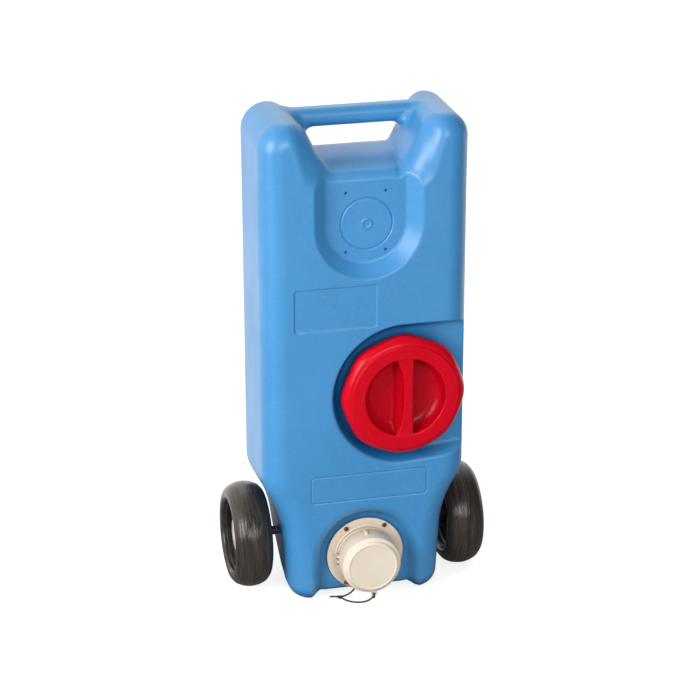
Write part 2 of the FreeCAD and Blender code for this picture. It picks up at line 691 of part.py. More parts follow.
def make_flange_screws():
    """Four cross-slotted screws, one group of separate solids."""
    screws = []
    for k, (x, z) in enumerate(screw_spots()):
        # (radius, height above the underside of the head)
        blank = lathe("screw_turned%d" % k, [
            ("0", "-screw_long"), ("screw_rad", "-screw_long"), ("screw_rad", "0"),
            ("screw_head", "0"), ("screw_head", "1.2"), ("screw_head-1.4", "2.6"), ("0", "2.6"),
        ], (x, "arch_floor_y-flange_top", z), OUT_FRONT)
        slots = [box(f"screw_slot_{tag}{k}", (wide, "3", high),
                     (f"{x}-{wide}/2", "arch_floor_y-flange_top-slot_from-3", f"{z}-{high}/2"))
                 for tag, wide, high in (("a", "slot_long", "slot_wide"),
                                         ("b", "slot_wide", "slot_long"))]
        screws.append(cut("screw%d" % k, blank, fuse("screw_slots%d" % k, *slots)))
    group = doc.addObject("Part::Compound", "flange_screws")
    group.Links = screws
    return group


def make_drain_cap():
    """Cap with a shoulder, centre mark, two lugs and the cord tab."""
    # (radius, height above the arch floor)
    turned = lathe("dcap_turned", [
        ("dcap_in", "dcap_low"), ("dcap_rad", "dcap_low"), ("dcap_rad", "dcap_step"),
        ("dcap_rad-2.5", "dcap_step+2.5"), ("dcap_face_rad+3", "dcap_step+3.5"),
        ("dcap_face_rad", "dcap_face-1.5"), ("dcap_face_rad-1.5", "dcap_face"),
        ("dcap_face_rad-5", "dcap_face"), ("dcap_face_rad-6", "dcap_face-1.2"),
        ("3", "dcap_face-1.2"), ("2", "dcap_face-0.4"), ("0", "dcap_face-0.4"),
        ("0", "dcap_ceiling"), ("dcap_in", "dcap_ceiling"),
    ], drain_at("0"), OUT_FRONT)
    lug_top = box("dcap_lug_top", ("lug_thick", "16", "lug_high"),
                  ("-8", "arch_floor_y-36", "drain_z+dcap_rad-2.5"))
    lug_side = box("dcap_lug_side", ("lug_high", "14", "lug_thick"),
                   ("-dcap_rad-4.5", "arch_floor_y-dcap_low-20", "drain_z-lug_thick/2"))
    tab = cyl("dcap_tab", "tab_rad", "tab_thick",
              ("tab_x", "arch_floor_y-dcap_step-1", "drain_z-dcap_rad-1"))
    root = box("dcap_tab_root", ("2*tab_rad", "tab_thick", "9"),
               ("tab_x-tab_rad", "arch_floor_y-dcap_step-1-tab_thick", "drain_z-dcap_rad-1"))
    hole = cyl("dcap_tab_hole", "tab_hole", "20",
               ("tab_x", "arch_floor_y-dcap_step+5", "drain_z-dcap_rad-1.5"))
    return cut("drain_cap", fuse("dcap_joined", turned, lug_top, lug_side, tab, root), hole)


def make_drain_cap_seal():
    return band("drain_cap_seal", "spigot_in+0.5", "dcap_in-0.4", "spigot_end+0.1",
                "dcap_ceiling-0.2", drain_at("0"))


# ---------------------------------------------------------------- cord
# (x, y, z) points along the middle of each length of cord
CORDS = {
    # from the flange eye to the knot
    "cord_flange_strand": [
        (-17, -64.5, 19.0), (-17, -69.5, 18.6), (-20, -72.5, 15), (-28, -73.5, 8.4),
        (-37, -74.5, 4.6), (-42.0, -75, 3.9)],
    # from the knot to the drain cap tab
    "cord_cap_strand": [
        (-43.4, -78.6, 2.4), (-37, -87, 1.9), (-24, -95, 1.7), (-11, -97.5, 2.2),
        (-1, -101, 7.0), (2.4, -104.5, 14.0), (3, -107.3, 20.2), (3, -110.0, 23.3),
        (3, -112.5, 24.0), (3, -116.0, 23.9)],
    # loose end beyond the knot
    "cord_tail": [(-49.6, -74.4, 3.7), (-54, -72.5, 4.4), (-59, -70, 3.4)],
}


def make_cord(name, points):
    """Round cord along a smooth curve through the points."""
    curve = Part.BSplineCurve()
    curve.interpolate([Vector(*point) for point in points])
    path = Part.Wire([curve.toShape()])
    start = curve.value(curve.FirstParameter)
    aim = curve.tangent(curve.FirstParameter)[0]
    section = Part.Wire([Part.makeCircle(evaluate("cord_rad"), start, aim)])
    obj = doc.addObject("Part::Feature", name)
    obj.Shape = path.makePipeShell([section], True, True)
    return obj


def make_knot():
    return prim("Part::Sphere", "cord_knot", {"Radius": "knot_rad"}, ("-46", "-75", "3.6"))


# ---------------------------------------------------------------- wheels
# Turned profiles of a wheel are (radius, distance outboard of its inner side).
def make_axle():
    return cyl("axle", "axle_rad", "2*axle_half", ("-axle_half", "axle_y", "axle_z"), OUT_RIGHT)


def make_tyre(side, pos, rot):
    return lathe("tyre_" + side, [
        ("tyre_in", "6"), ("tyre_in+3", "1"), ("tyre_in+6", "0.01"),
        ("wheel_rad-15", "1.2"), ("wheel_rad-6.5", "8"), ("wheel_rad-1.8", "18"),
        ("wheel_rad", "wheel_half-1.2"), ("wheel_rad", "wheel_half+2.2"),
        ("wheel_rad-1.8", "tyre_side-20"), ("wheel_rad-6.5", "tyre_side-9"),
        ("wheel_rad-14", "tyre_side-1.5"), ("tyre_in+9", "tyre_side"),
        ("tyre_in+4", "tyre_side-1.2"), ("tyre_in", "tyre_side-7"),
    ], pos, rot)


def make_wheel_centre(side, sign, pos, rot):
    """Hub, web and rim band, with a ring of round windows through the web."""
    blank = lathe("wheel_blank_" + side, [
        ("hub_bore", "0"), ("hub_rad", "0"), ("hub_rad+1", "wheel_half-web_half-1"),
        ("hub_rad+2", "wheel_half-web_half"), ("rim_in-1", "wheel_half-web_half"),
        ("rim_in", "wheel_half-web_half-1"), ("rim_in", "rim_inset"),
        ("tyre_in", "rim_inset"), ("tyre_in", "2*wheel_half-rim_inset"),
        ("rim_in", "2*wheel_half-rim_inset"), ("rim_in", "wheel_half+web_half+1"),
        ("rim_in-1", "wheel_half+web_half"), ("hub_rad+2", "wheel_half+web_half"),
        ("hub_rad", "wheel_half+web_half+1"), ("hub_rad", "wheel_half+hub_end"),
        ("hub_bore", "wheel_half+hub_end"),
    ], pos, rot)
    windows = []
    for k in range(WINDOWS):
        angle = "%g*1deg" % (360.0 / WINDOWS * (k + 0.5))
        windows.append(cyl(f"window_{side}{k}", "win_rad", "40",
                           (sign + "track_half-20", f"axle_y+win_ring*cos({angle})",
                            f"axle_z+win_ring*sin({angle})"), OUT_RIGHT))
    return cut("wheel_centre_" + side, blank, fuse("windows_" + side, *windows))


def make_hub_cap(side, pos, rot):
    """Hollow cap; its crown height is measured from the wheel centre plane."""
    crown = "wheel_half+hubcap_top"
    return lathe("hub_cap_" + side, [
        ("hubcap_rad-2.5", "wheel_half+web_half"), ("hubcap_rad", "wheel_half+web_half"),
        ("hubcap_rad", crown + "-5"), ("hubcap_rad-3", crown + "-2.2"),
        ("hubcap_rad-12", crown + "-0.6"), ("0", crown), ("0", crown + "-2.5"),
        ("hubcap_rad-12", crown + "-3.1"), ("hubcap_rad-4.5", crown + "-4.6"),
        ("hubcap_rad-2.5", crown + "-6.5"),
    ], pos, rot)


def make_axle_clip(side, pos, rot):
    hub = "wheel_half+hub_end"
    return lathe("axle_clip_" + side, [
        ("axle_rad", hub + "+1.7"), ("axle_rad+5", hub + "+1.7"), ("axle_rad+5", hub + "+2.7"),
        ("axle_rad+2", hub + "+4.2"), ("axle_rad", hub + "+4.2"),
    ], pos, rot)


def make_wheel(side, sign, rot):
    """All pieces on one end of the axle; sign is the side's sign of x."""
    pos = (sign + "(track_half-wheel_half)", "axle_y", "axle_z")
    tyre = make_tyre(side, pos, rot)
    centre = make_wheel_centre(side, sign, pos, rot)
    hub_cap = make_hub_cap(side, pos, rot)
    spacer = band("inner_spacer_" + side, "washer_bore-0.2", "spacer_rad", "0",
                  "track_half-wheel_half-spacer_from-0.2",
                  (sign + "spacer_from", "axle_y", "axle_z"), rot)
    washer = band("outer_washer_" + side, "washer_bore", "washer_rad",
                  "wheel_half+hub_end+0.2", "wheel_half+hub_end+1.6", pos, rot)
    return [tyre, centre, hub_cap, spacer, washer, make_axle_clip(side, pos, rot)]


# ---------------------------------------------------------------- build
pieces = [make_tank(), make_fill_cap(), make_fill_gasket(), make_drain_flange(),
          make_flange_gasket(), make_flange_screws(), make_drain_cap(), make_drain_cap_seal()]
pieces += [make_cord(name, points) for name, points in CORDS.items()]
pieces += [make_knot(), make_axle()]
pieces += make_wheel("left", "-", OUT_LEFT)
pieces += make_wheel("right", "", OUT_RIGHT)
doc.recompute()

# ---------------------------------------------------------------- write out
bad = [obj.Name + ":" + ",".join(obj.State) for obj in doc.Objects
       if "Invalid" in obj.State or "Error" in obj.State]
for piece in pieces:
    shape = piece.Shape
    if shape.isNull():
        bad.append(piece.Label + " is null")
    elif not shape.isValid():
        bad.append(piece.Label + " is not valid")
    elif not shape.Solids:
        bad.append(piece.Label + " has no solid")
    elif piece.Label != "flange_screws" and len(shape.Solids) != 1:
        bad.append("%s has %d solids" % (piece.Label, len(shape.Solids)))
if bad:
    raise RuntimeError("; ".join(bad))
os.makedirs("parts", exist_ok=True)
for piece in pieces:
    piece.Shape.exportStep("parts/%s.step" % piece.Label)
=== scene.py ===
# Upright blue plastic tank on two wheels, with a handle bar across its top, a red filler
# cap, and a cream drain flange and cap tied together by a black cord.
# Z is up and the feet stand on z = 0.  The caps face the front, -y; left is -x.
# The wheel axle runs along x near the lower back.
import bpy
import bmesh
import itertools
import json
import math
import numpy as np
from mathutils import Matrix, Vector


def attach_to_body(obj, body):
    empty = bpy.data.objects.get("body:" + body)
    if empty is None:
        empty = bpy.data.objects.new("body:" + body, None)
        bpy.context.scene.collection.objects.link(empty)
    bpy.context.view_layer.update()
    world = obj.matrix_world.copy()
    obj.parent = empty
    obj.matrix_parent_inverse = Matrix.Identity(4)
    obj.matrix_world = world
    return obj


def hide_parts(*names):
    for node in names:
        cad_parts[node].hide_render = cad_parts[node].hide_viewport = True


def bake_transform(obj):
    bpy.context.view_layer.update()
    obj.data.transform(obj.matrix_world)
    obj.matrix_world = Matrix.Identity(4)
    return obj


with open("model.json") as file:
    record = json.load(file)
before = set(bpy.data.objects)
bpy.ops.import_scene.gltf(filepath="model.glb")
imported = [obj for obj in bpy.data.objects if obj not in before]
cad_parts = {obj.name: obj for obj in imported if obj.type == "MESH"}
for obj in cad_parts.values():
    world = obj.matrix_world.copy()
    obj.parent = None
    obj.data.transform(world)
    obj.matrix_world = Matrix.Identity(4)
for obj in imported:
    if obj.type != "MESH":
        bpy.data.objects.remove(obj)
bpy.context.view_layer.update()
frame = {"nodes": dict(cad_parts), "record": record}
MM = 0.001
scene = bpy.context.scene
built = []  # (object, material slot), painted once the materials exist


def add_object(name, data):
    obj = bpy.data.objects.new(name, data)
    scene.collection.objects.link(obj)
    return obj


def set_slot(obj, slot):
    built.append((obj, slot))


def attach(obj, node, replaced, slot):
    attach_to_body(obj, node)
    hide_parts(replaced)
    set_slot(obj, slot)


# =====================================================================
# Distance functions: negative inside, lengths in mm
# =====================================================================
def round_and(a, b, radius):
    """Intersection with a rounded convex edge."""
    u, v = np.maximum(a + radius, 0.0), np.maximum(b + radius, 0.0)
    return np.minimum(np.maximum(a, b), -radius) + np.sqrt(u * u + v * v)


def round_or(a, b, radius):
    """Union with a rounded concave edge."""
    u, v = np.maximum(radius - a, 0.0), np.maximum(radius - b, 0.0)
    return np.maximum(np.minimum(a, b), radius) - np.sqrt(u * u + v * v)


def carve(body, tool, radius):
    """Body less tool, with a rounded rim."""
    return round_and(body, -tool, radius)


def soft_min(a, b, width):
    t = np.maximum(width - np.abs(a - b), 0.0) / width
    return np.minimum(a, b) - t * t * width * 0.25


def soft_max(a, b, width):
    return -soft_min(-a, -b, width)


def ease(start, end, value):
    """Smooth step from 0 at start to 1 at end; start may be the larger."""
    t = np.clip((value - start) / (end - start), 0.0, 1.0)
    return t * t * (3.0 - 2.0 * t)


def mix(a, b, t):
    return a + (b - a) * t


def box(u, v, centre, half, radius):
    """Rectangle with rounded corners in the (u, v) plane."""
    return round_and(np.abs(u - centre[0]) - half[0], np.abs(v - centre[1]) - half[1], radius)


# =====================================================================
# Meshes from distance functions
# =====================================================================
def axis_points(low, high, step, fine):
    """Grid stations from low to high; fine = [(start, end, step)] sets closer ones."""
    stations = [low]
    while stations[-1] < high:
        here = stations[-1]
        stride = step
        for start, end, fine_step in fine:
            if start - step * 0.5 <= here < end:
                stride = min(stride, fine_step)
        stations.append(here + stride)
    return np.array(stations, np.float32)


def surface_net(grid, field):
    """Vertices and quads of the surface field = 0 on a rectilinear grid."""
    nx, ny, nz = field.shape
    inside = field < 0.0
    offsets = list(itertools.product((0, 1), repeat=3))
    count = np.zeros((nx - 1, ny - 1, nz - 1), np.int8)
    for dx, dy, dz in offsets:
        count += inside[dx:nx - 1 + dx, dy:ny - 1 + dy, dz:nz - 1 + dz]
    active = (count > 0) & (count < 8)
    cell = np.nonzero(active)
    index = np.full(active.shape, -1, np.int32)
    index[cell] = np.arange(len(cell[0]), dtype=np.int32)
    corner = {o: field[cell[0] + o[0], cell[1] + o[1], cell[2] + o[2]] for o in offsets}

    # each vertex is the mean of the crossings on its cell's twelve edges
    pos = np.zeros((len(cell[0]), 3), np.float64)
    crossings = np.zeros(len(cell[0]))
    for axis in range(3):
        side1, side2 = [a for a in range(3) if a != axis]
        for p, q in itertools.product((0, 1), repeat=2):
            start = [0, 0, 0]
            start[side1], start[side2] = p, q
            end = list(start)
            end[axis] = 1
            value0, value1 = corner[tuple(start)], corner[tuple(end)]
            hit = (value0 < 0) != (value1 < 0)
            t = np.where(hit, value0 / np.where(hit, value0 - value1, 1.0), 0.0)
            low = grid[axis][cell[axis]]
            high = grid[axis][cell[axis] + 1]
            pos[:, axis] += np.where(hit, low + (high - low) * t, 0.0)
            pos[:, side1] += np.where(hit, grid[side1][cell[side1] + p], 0.0)
            pos[:, side2] += np.where(hit, grid[side2][cell[side2] + q], 0.0)
            crossings += hit
    pos /= crossings[:, None]

    # one quad round every grid edge that crosses the surface
    quads = []
    for axis in range(3):
        side1, side2 = [a for a in range(3) if a != axis]
        lower = [slice(1, -1)] * 3
        upper = [slice(1, -1)] * 3
        lower[axis] = slice(0, -1)
        upper[axis] = slice(1, None)
        first, second = inside[tuple(lower)], inside[tuple(upper)]
        for flip in (False, True):
            edge = list(np.nonzero((~first & second) if flip else (first & ~second)))
            edge[side1] = edge[side1] + 1
            edge[side2] = edge[side2] + 1
            ring = []
            for p, q in ((-1, -1), (0, -1), (0, 0), (-1, 0)):
                around = list(edge)
                around[side1] = around[side1] + p
                around[side2] = around[side2] + q
                ring.append(index[tuple(around)])
            quad = np.stack(ring, 1)
            if (axis == 1) != flip:
                quad = quad[:, ::-1]
            quads.append(quad)
    return pos, np.concatenate(quads)


def gradient(shape, points, reach=0.25):
    slope = np.empty_like(points)
    for axis in range(3):
        shift = np.zeros(3)
        shift[axis] = reach
        slope[:, axis] = (shape(points + shift) - shape(points - shift)) / (2 * reach)
    return slope


def sample(shape, grid):
    """The function on the grid, worked out at every point only near the surface."""
    stride, chunk = 4, 400000
    rough_grid = [axis[::stride] for axis in grid]
    points = np.stack(np.meshgrid(*rough_grid, indexing="ij"), -1).reshape(-1, 3)
    rough = shape(points).reshape([len(c) for c in rough_grid]).astype(np.float32)
    nearest = [np.minimum((np.arange(len(axis)) + stride // 2) // stride, len(c) - 1)
               for axis, c in zip(grid, rough_grid)]
    field = rough[np.ix_(*nearest)]
    span = math.sqrt(sum((float(np.max(np.diff(axis))) * stride * 0.5) ** 2 for axis in grid))
    near = np.nonzero(np.abs(field) < span * 1.25 + 2.0)
    values = np.empty(len(near[0]), np.float32)
    for s in range(0, len(values), chunk):
        part = [axis[i[s:s + chunk]] for axis, i in zip(grid, near)]
        values[s:s + chunk] = shape(np.stack(part, 1))
    field[near] = values
    return field


def pull_to_surface(shape, pos, limit):
    """One Newton step towards shape = 0, no longer than limit."""
    slope = gradient(shape, pos)
    steepness = np.maximum((slope * slope).sum(1), 0.05)
    move = (shape(pos) / steepness)[:, None] * slope
    length = np.sqrt((move * move).sum(1))
    move *= np.minimum(1.0, limit / np.maximum(length, 1e-9))[:, None]
    return pos - move


def solid(name, shape, low, high, step, max_tris, fine=((), (), ())):
    """Mesh of shape < 0, thinned to max_tris, with normals taken from the function."""
    grid = [axis_points(low[i], high[i], step, fine[i]) for i in range(3)]
    pos, quads = surface_net(grid, sample(shape, grid))
    for _ in range(2):
        pos = pull_to_surface(shape, pos, step * 0.6)
    mesh = bpy.data.meshes.new(name)
    mesh.from_pydata((pos * MM).tolist(), [], quads.tolist())
    mesh.update()
    obj = add_object(name, mesh)
    if len(quads) * 2 > max_tris:
        thin = obj.modifiers.new("thin", "DECIMATE")
        thin.ratio = max_tris / (len(quads) * 2.0)
        depsgraph = bpy.context.evaluated_depsgraph_get()
        thinned = bpy.data.meshes.new_from_object(obj.evaluated_get(depsgraph))
        obj.modifiers.clear()
        obj.data = thinned
        bpy.data.meshes.remove(mesh)
        mesh = thinned
        mesh.name = name
        flat = np.empty(len(mesh.vertices) * 3, np.float64)
        mesh.vertices.foreach_get("co", flat)
        pos = pull_to_surface(shape, flat.reshape(-1, 3) * 1000.0, 0.8)
        mesh.vertices.foreach_set("co", (pos * MM).ravel())
        mesh.update()
    mesh.polygons.foreach_set("use_smooth", [True] * len(mesh.polygons))
    normals = gradient(shape, pos, 0.35)
    normals /= np.maximum(np.sqrt((normals * normals).sum(1)), 1e-9)[:, None]
    mesh.normals_split_custom_set_from_vertices(normals.tolist())
    mesh.update()
    return obj


# =====================================================================
# Tank shell
# =====================================================================
MID_Y, HALF_DEPTH = 15.0, 95.0
FRONT_Y = MID_Y - HALF_DEPTH
AXLE_Y, AXLE_Z, AXLE_HOLE_RADIUS = 30.0, 89.0, 6.6
BELLY_Z = 10.0
HORN_TOP_Z = 823.0
HORN_X_LEFT, HORN_RADIUS_LEFT = 126.5, 43.5
HORN_X_RIGHT, HORN_RADIUS_RIGHT = 132.0, 38.0
SADDLE_FOOT_Z = 747.0
SADDLE_LEAN = math.radians(27)
TAN, SIN, COS = math.tan(SADDLE_LEAN), math.sin(SADDLE_LEAN), math.cos(SADDLE_LEAN)
HANDLE_YZ, HANDLE_HALF, HANDLE_HALF_LENGTH = (46.0, 802.5), (17.0, 15.5), 108.0
RECESS_X, RECESS_Y, RECESS_Z = 2.0, -58.0, 653.0
FILL_X, FILL_Y, FILL_Z = 59.0, -55.0, 363.0
POCKET_X, POCKET_Z = 63.0, 362.1
NECK_RADIUS, NECK_LENGTH, BORE_RADIUS = 83.0, 33.0, 76.0
THREAD_PITCH, THREAD_HEIGHT = 8.0, 1.5
DRAIN_Y, DRAIN_Z, DRAIN_BORE_RADIUS = -60.0, 75.0, 39.5
LABEL = dict(centre=(-52.25, 519.25), half=(67.5, 35.75), radius=4.0)
LOWER_FRAME = dict(centre=(3.5, 204.75), half=(98.0, 23.75), radius=6.0)


def depth_ratio(y, floor_y, least=-1.0):
    """0 on the front plane, 1 on a recess floor."""
    return np.clip((y - FRONT_Y) / (floor_y - FRONT_Y), least, 1.0)


def half_width(z, y):
    """A slightly leaning flank, a steeper flare above it, then plumb."""
    flank = 126.0 + z * (7.0 / 122.0)
    flare = 133.0 + (z + 0.07 * (y + 51.0) - 149.0) * 0.6
    return soft_min(soft_max(flank, flare, 20.0), 170.0, 11.0)


def tank_body(x, y, z):
    """Flanks, front and back, with a saddle between two rounded horns on top."""
    out = np.abs(x)
    slope = (half_width(z + 2.0, y) - half_width(z - 2.0, y)) / 4.0
    flank = (out - half_width(z, y)) / np.sqrt(1.0 + slope * slope)
    # the lower back is cut away at a slant below the axle
    heel = (y - AXLE_Y) * 0.690 - (z - AXLE_Z) * 0.724 - 54.0
    depth = soft_max(np.abs(y - MID_Y) - HALF_DEPTH, heel, 26.0)

    left = x < 0.0
    horn_x = np.where(left, HORN_X_LEFT, HORN_X_RIGHT)
    horn_radius = np.where(left, HORN_RADIUS_LEFT, HORN_RADIUS_RIGHT)
    horn_z = HORN_TOP_Z - horn_radius
    foot_x = horn_x - horn_radius * COS - (horn_z + horn_radius * SIN - SADDLE_FOOT_Z) * TAN
    front_floor = soft_min(735.0 + (y + 58.0) * 0.22, 746.5 + y * 0.13, 6.0)
    back_floor = 753.0 - (y - 52.0) * 0.33
    above_floor = (z - soft_min(front_floor, back_floor, 7.0)) * 0.955
    cheek = (out - foot_x) * COS - (z - SADDLE_FOOT_Z) * SIN
    saddle = round_and(cheek, -above_floor, 7.0)
    from_x, from_z = out - horn_x, z - horn_z
    on_crown = (from_z > 0) & (from_x * SIN + from_z * COS > 0)
    outline = np.where(on_crown, np.sqrt(from_x * from_x + from_z * from_z) - horn_radius,
                       np.maximum(flank, -saddle))

    inner = ease(0.0, 34.0, horn_x - out) * ease(48.0, 62.0, out) * ease(690.0, 735.0, z)
    edge = mix(38.0, 35.5, ease(680.0, 790.0, z)) + 14.0 * inner
    return round_and(outline, depth, edge)


def cut_recess(body, x, y, z):
    """Upper front recess: round below, straight-sided above, tapering inwards."""
    half = mix(88.0, 67.0, depth_ratio(y, RECESS_Y, least=-1.2))
    off_x, off_z = np.abs(x - RECESS_X), z - RECESS_Z
    outline = np.where(off_z < 0, np.hypot(off_x, off_z) - half, off_x - half)
    recess = round_and(outline * 0.73, y - RECESS_Y, 2.2)  # 0.73 allows for the taper
    top = ease(706.0, 732.0, z) * ease(70.0, 50.0, off_x)
    return carve(body, recess, mix(1.7, 12.0, top) + 3.0 * ease(732.0, 750.0, z))


def add_handle(body, x, y, z):
    out = np.abs(x)
    bar = box(y, z, HANDLE_YZ, HANDLE_HALF, 13.5)
    bar = np.maximum(bar, out - HANDLE_HALF_LENGTH)
    joined = round_or(body, bar, mix(21.0, 11.0, ease(788.0, 806.0, z)))
    return np.where((z > 745.0) & (out < 125.0), joined, body)


def cut_pocket(body, x, y, z):
    """Round pocket about the filler neck, running out to the right flank."""
    off_x, off_z = x - POCKET_X, z - POCKET_Z
    run = np.maximum(off_x, 0.0)
    radius = mix(121.1, 109.2, depth_ratio(y, FILL_Y)) - 0.04 * run
    outline = (np.hypot(np.minimum(off_x, 0.0), off_z - 0.035 * run) - radius) * 0.9
    pocket = round_and(outline, y - FILL_Y, 5.0)
    return carve(body, pocket, mix(2.0, 3.2, ease(60.0, -60.0, off_z)))


def cut_arch(body, x, y, z):
    """Round-topped arch about the drain, open at the bottom."""
    off_z = z - DRAIN_Z
    radius = mix(88.5, 71.0, depth_ratio(y, DRAIN_Y))
    outline = np.where(off_z > 0, np.hypot(x, off_z), np.abs(x)) - radius
    return carve(body, round_and(outline * 0.76, y - DRAIN_Y, 5.0), 5.5)


def cut_underside(body, x, y, z):
    """Two feet at the front; the belly is slightly raised elsewhere."""
    out = np.abs(x)
    bottom = BELLY_Z * (1.0 - ease(70.0, 88.0, out) * ease(-2.0, -22.0, y))
    return round_and(body, bottom - z, mix(9.0, 28.0, ease(66.0, 84.0, out)))


def add_neck(body, x, y, z):
    """Filler neck with a helical thread and its bore."""
    off_x, off_z = x - FILL_X, z - FILL_Z
    rho = np.sqrt(off_x ** 2 + off_z * off_z)
    out = FILL_Y - y
    neck = round_and(rho - NECK_RADIUS, out - NECK_LENGTH, 1.0)
    neck = np.maximum(neck, -out - 12.0)
    turn = np.arctan2(off_z, off_x) / (2 * np.pi)
    wrap = (out - THREAD_PITCH * turn) / THREAD_PITCH
    from_crest = (wrap - np.round(wrap)) * THREAD_PITCH
    ends = ease(6.0, 10.0, out) * ease(30.0, 26.0, out)
    ridge = THREAD_HEIGHT * np.exp(-(from_crest / 1.7) ** 2)
    neck = neck - ridge * ends * (np.abs(rho - NECK_RADIUS) < 5.0)
    bore = np.maximum(rho - BORE_RADIUS, y - 60.0)
    return carve(round_or(body, neck, 2.0), bore, 1.0)


def cut_drain_and_axle(body, x, y, z):
    rho = np.sqrt(x * x + (z - DRAIN_Z) ** 2)
    body = np.maximum(body, -np.maximum(rho - DRAIN_BORE_RADIUS, y - 20.0))
    rho = np.hypot(y - AXLE_Y, z - AXLE_Z)
    return np.where(rho < 20.0, carve(body, rho - AXLE_HOLE_RADIUS, 1.2), body)


def add_marks(body, x, y, z):
    # recess floor: a round groove, a raised six-sided ring and four dimples
    near = ((np.abs(y - RECESS_Y) < 7.0) & (np.abs(z - 652.0) < 60.0)
            & (np.abs(x - RECESS_X) < 60.0))
    off_x, mark_z = x[near] - RECESS_X, z[near]
    ring_x, ring_z = off_x - 1.4, mark_z - 651.0
    rho = np.sqrt(ring_x ** 2 + ring_z ** 2)
    mark = 1.5 * np.exp(-((rho - 42.4) / 1.15) ** 2)
    hexagon = rho * (1.0 + 0.03 * np.cos(6 * np.arctan2(ring_z, ring_x)))
    mark -= 1.5 * (ease(9.8, 8.2, hexagon) - 0.9 * ease(6.6, 5.0, hexagon))
    dimple = np.sqrt((np.abs(off_x) - 32.5) ** 2 + (np.abs(mark_z - 655.0) - 49.0) ** 2)
    mark += 3.5 * ease(2.6, 1.3, dimple)
    body[near] = body[near] + mark
    # front plane: a sunk label field, and lower down a groove round a rectangle
    front = np.abs(y - FRONT_Y) < 6.0
    near = front & (z > 474.0) & (z < 562.0) & (x < 24.0) & (x > -128.0)
    body[near] = body[near] + 1.3 * ease(1.0, -1.0, box(x[near], z[near], **LABEL))
    near = front & (z > 172.0) & (z < 238.0) & (np.abs(x) < 110.0)
    edge = box(x[near], z[near], **LOWER_FRAME)
    body[near] = body[near] + 1.15 * np.exp(-((edge + 0.7) / 1.0) ** 2)
    return body


def tank_shape(points):
    x, y, z = points[:, 0], points[:, 1], points[:, 2]
    dist = tank_body(x, y, z)
    for change in (cut_recess, add_handle, cut_pocket, cut_arch, cut_underside, add_neck,
                   cut_drain_and_axle, add_marks):
        dist = change(dist, x, y, z)
    return dist


# closer stations (start, end, step) along x, y and z at the marks and recess rims
TANK_FINE = (
    [(-122.0, -117.0, 1.0), (-98.5, -91.0, 1.0), (-44.5, 48.5, 1.0), (98.0, 105.0, 1.0)],
    [(-62.0, -54.0, 1.6), (-84.0, -76.0, 1.6)],
    [(177.0, 185.0, 1.0), (224.0, 232.0, 1.0), (480.0, 487.0, 1.0), (551.5, 558.5, 1.0),
     (602.5, 707.5, 1.0)])
tank = solid("tank_shell", tank_shape, low=(-176.0, -92.0, -4.0), high=(177.0, 116.0, 828.0),
             step=2.9, fine=TANK_FINE, max_tris=230000)
attach(tank, "tank", "tank_body", "tank_blue")


# =====================================================================
# Turned pieces and cords
# =====================================================================
def rounded(corners):
    """Closed outline with rounded corners from (u, v, radius) points."""
    outline = []
    for i, (u, v, radius) in enumerate(corners):
        if radius <= 0:
            outline.append((u, v))
            continue
        point = np.array([u, v], float)
        back = np.array(corners[i - 1][:2], float) - point
        ahead = np.array(corners[(i + 1) % len(corners)][:2], float) - point
        back_length, ahead_length = np.linalg.norm(back), np.linalg.norm(ahead)
        back, ahead = back / back_length, ahead / ahead_length
        angle = math.acos(max(-1.0, min(1.0, float(back @ ahead))))
        cut = min(radius / math.tan(angle / 2), back_length * 0.49, ahead_length * 0.49)
        arc_radius = cut * math.tan(angle / 2)
        middle = back + ahead
        centre = point + middle / np.linalg.norm(middle) * (arc_radius / math.sin(angle / 2))
        start, end = point + back * cut - centre, point + ahead * cut - centre
        start_angle = math.atan2(start[1], start[0])
        end_angle = math.atan2(end[1], end[0])
        sweep = (end_angle - start_angle + math.pi) % (2 * math.pi) - math.pi
        steps = max(3, int(abs(sweep) / 0.16) + 1)
        for j in range(steps + 1):
            turn = start_angle + sweep * j / steps
            outline.append((centre[0] + arc_radius * math.cos(turn),
                            centre[1] + arc_radius * math.sin(turn)))
    return outline


def turned(name, corners, origin, sign, segs):
    """Closed profile of (radius, height, corner radius), turned about the x axis through
    origin; heights grow towards x * sign."""
    segs = segs
    profile = np.array(rounded(corners), float)
    count = len(profile)
    theta = np.tile(np.arange(segs) * 2 * math.pi / segs, (count, 1))
    radius = np.repeat(profile[:, 0][:, None], segs, 1)
    height = np.repeat(profile[:, 1][:, None], segs, 1)
    places = np.stack([sign * height, sign * (radius * np.cos(theta)), radius * np.sin(theta)], -1)
    places = places.reshape(-1, 3) + np.array(origin, float)
    mesh = bpy.data.meshes.new(name)
    bm = bmesh.new()
    verts = [bm.verts.new(place * MM) for place in places]
    on_axis = profile[:, 0] < 1e-6
    for i in range(count):
        j = (i + 1) % count
        if on_axis[i] and on_axis[j]:
            continue
        for k in range(segs):
            m = (k + 1) % segs
            quad = [verts[i * segs + k], verts[j * segs + k],
                    verts[j * segs + m], verts[i * segs + m]]
            if on_axis[i]:
                del quad[3]
            elif on_axis[j]:
                del quad[2]
            bm.faces.new(quad)
    bmesh.ops.remove_doubles(bm, verts=bm.verts, dist=1e-7)
    bmesh.ops.recalc_face_normals(bm, faces=bm.faces)
    for edge in bm.edges:
        if len(edge.link_faces) == 2 and edge.calc_face_angle(0.0) > math.radians(32):
            edge.smooth = False
    for face in bm.faces:
        face.smooth = True
    bm.to_mesh(mesh)
    bm.free()
    return add_object(name, mesh)


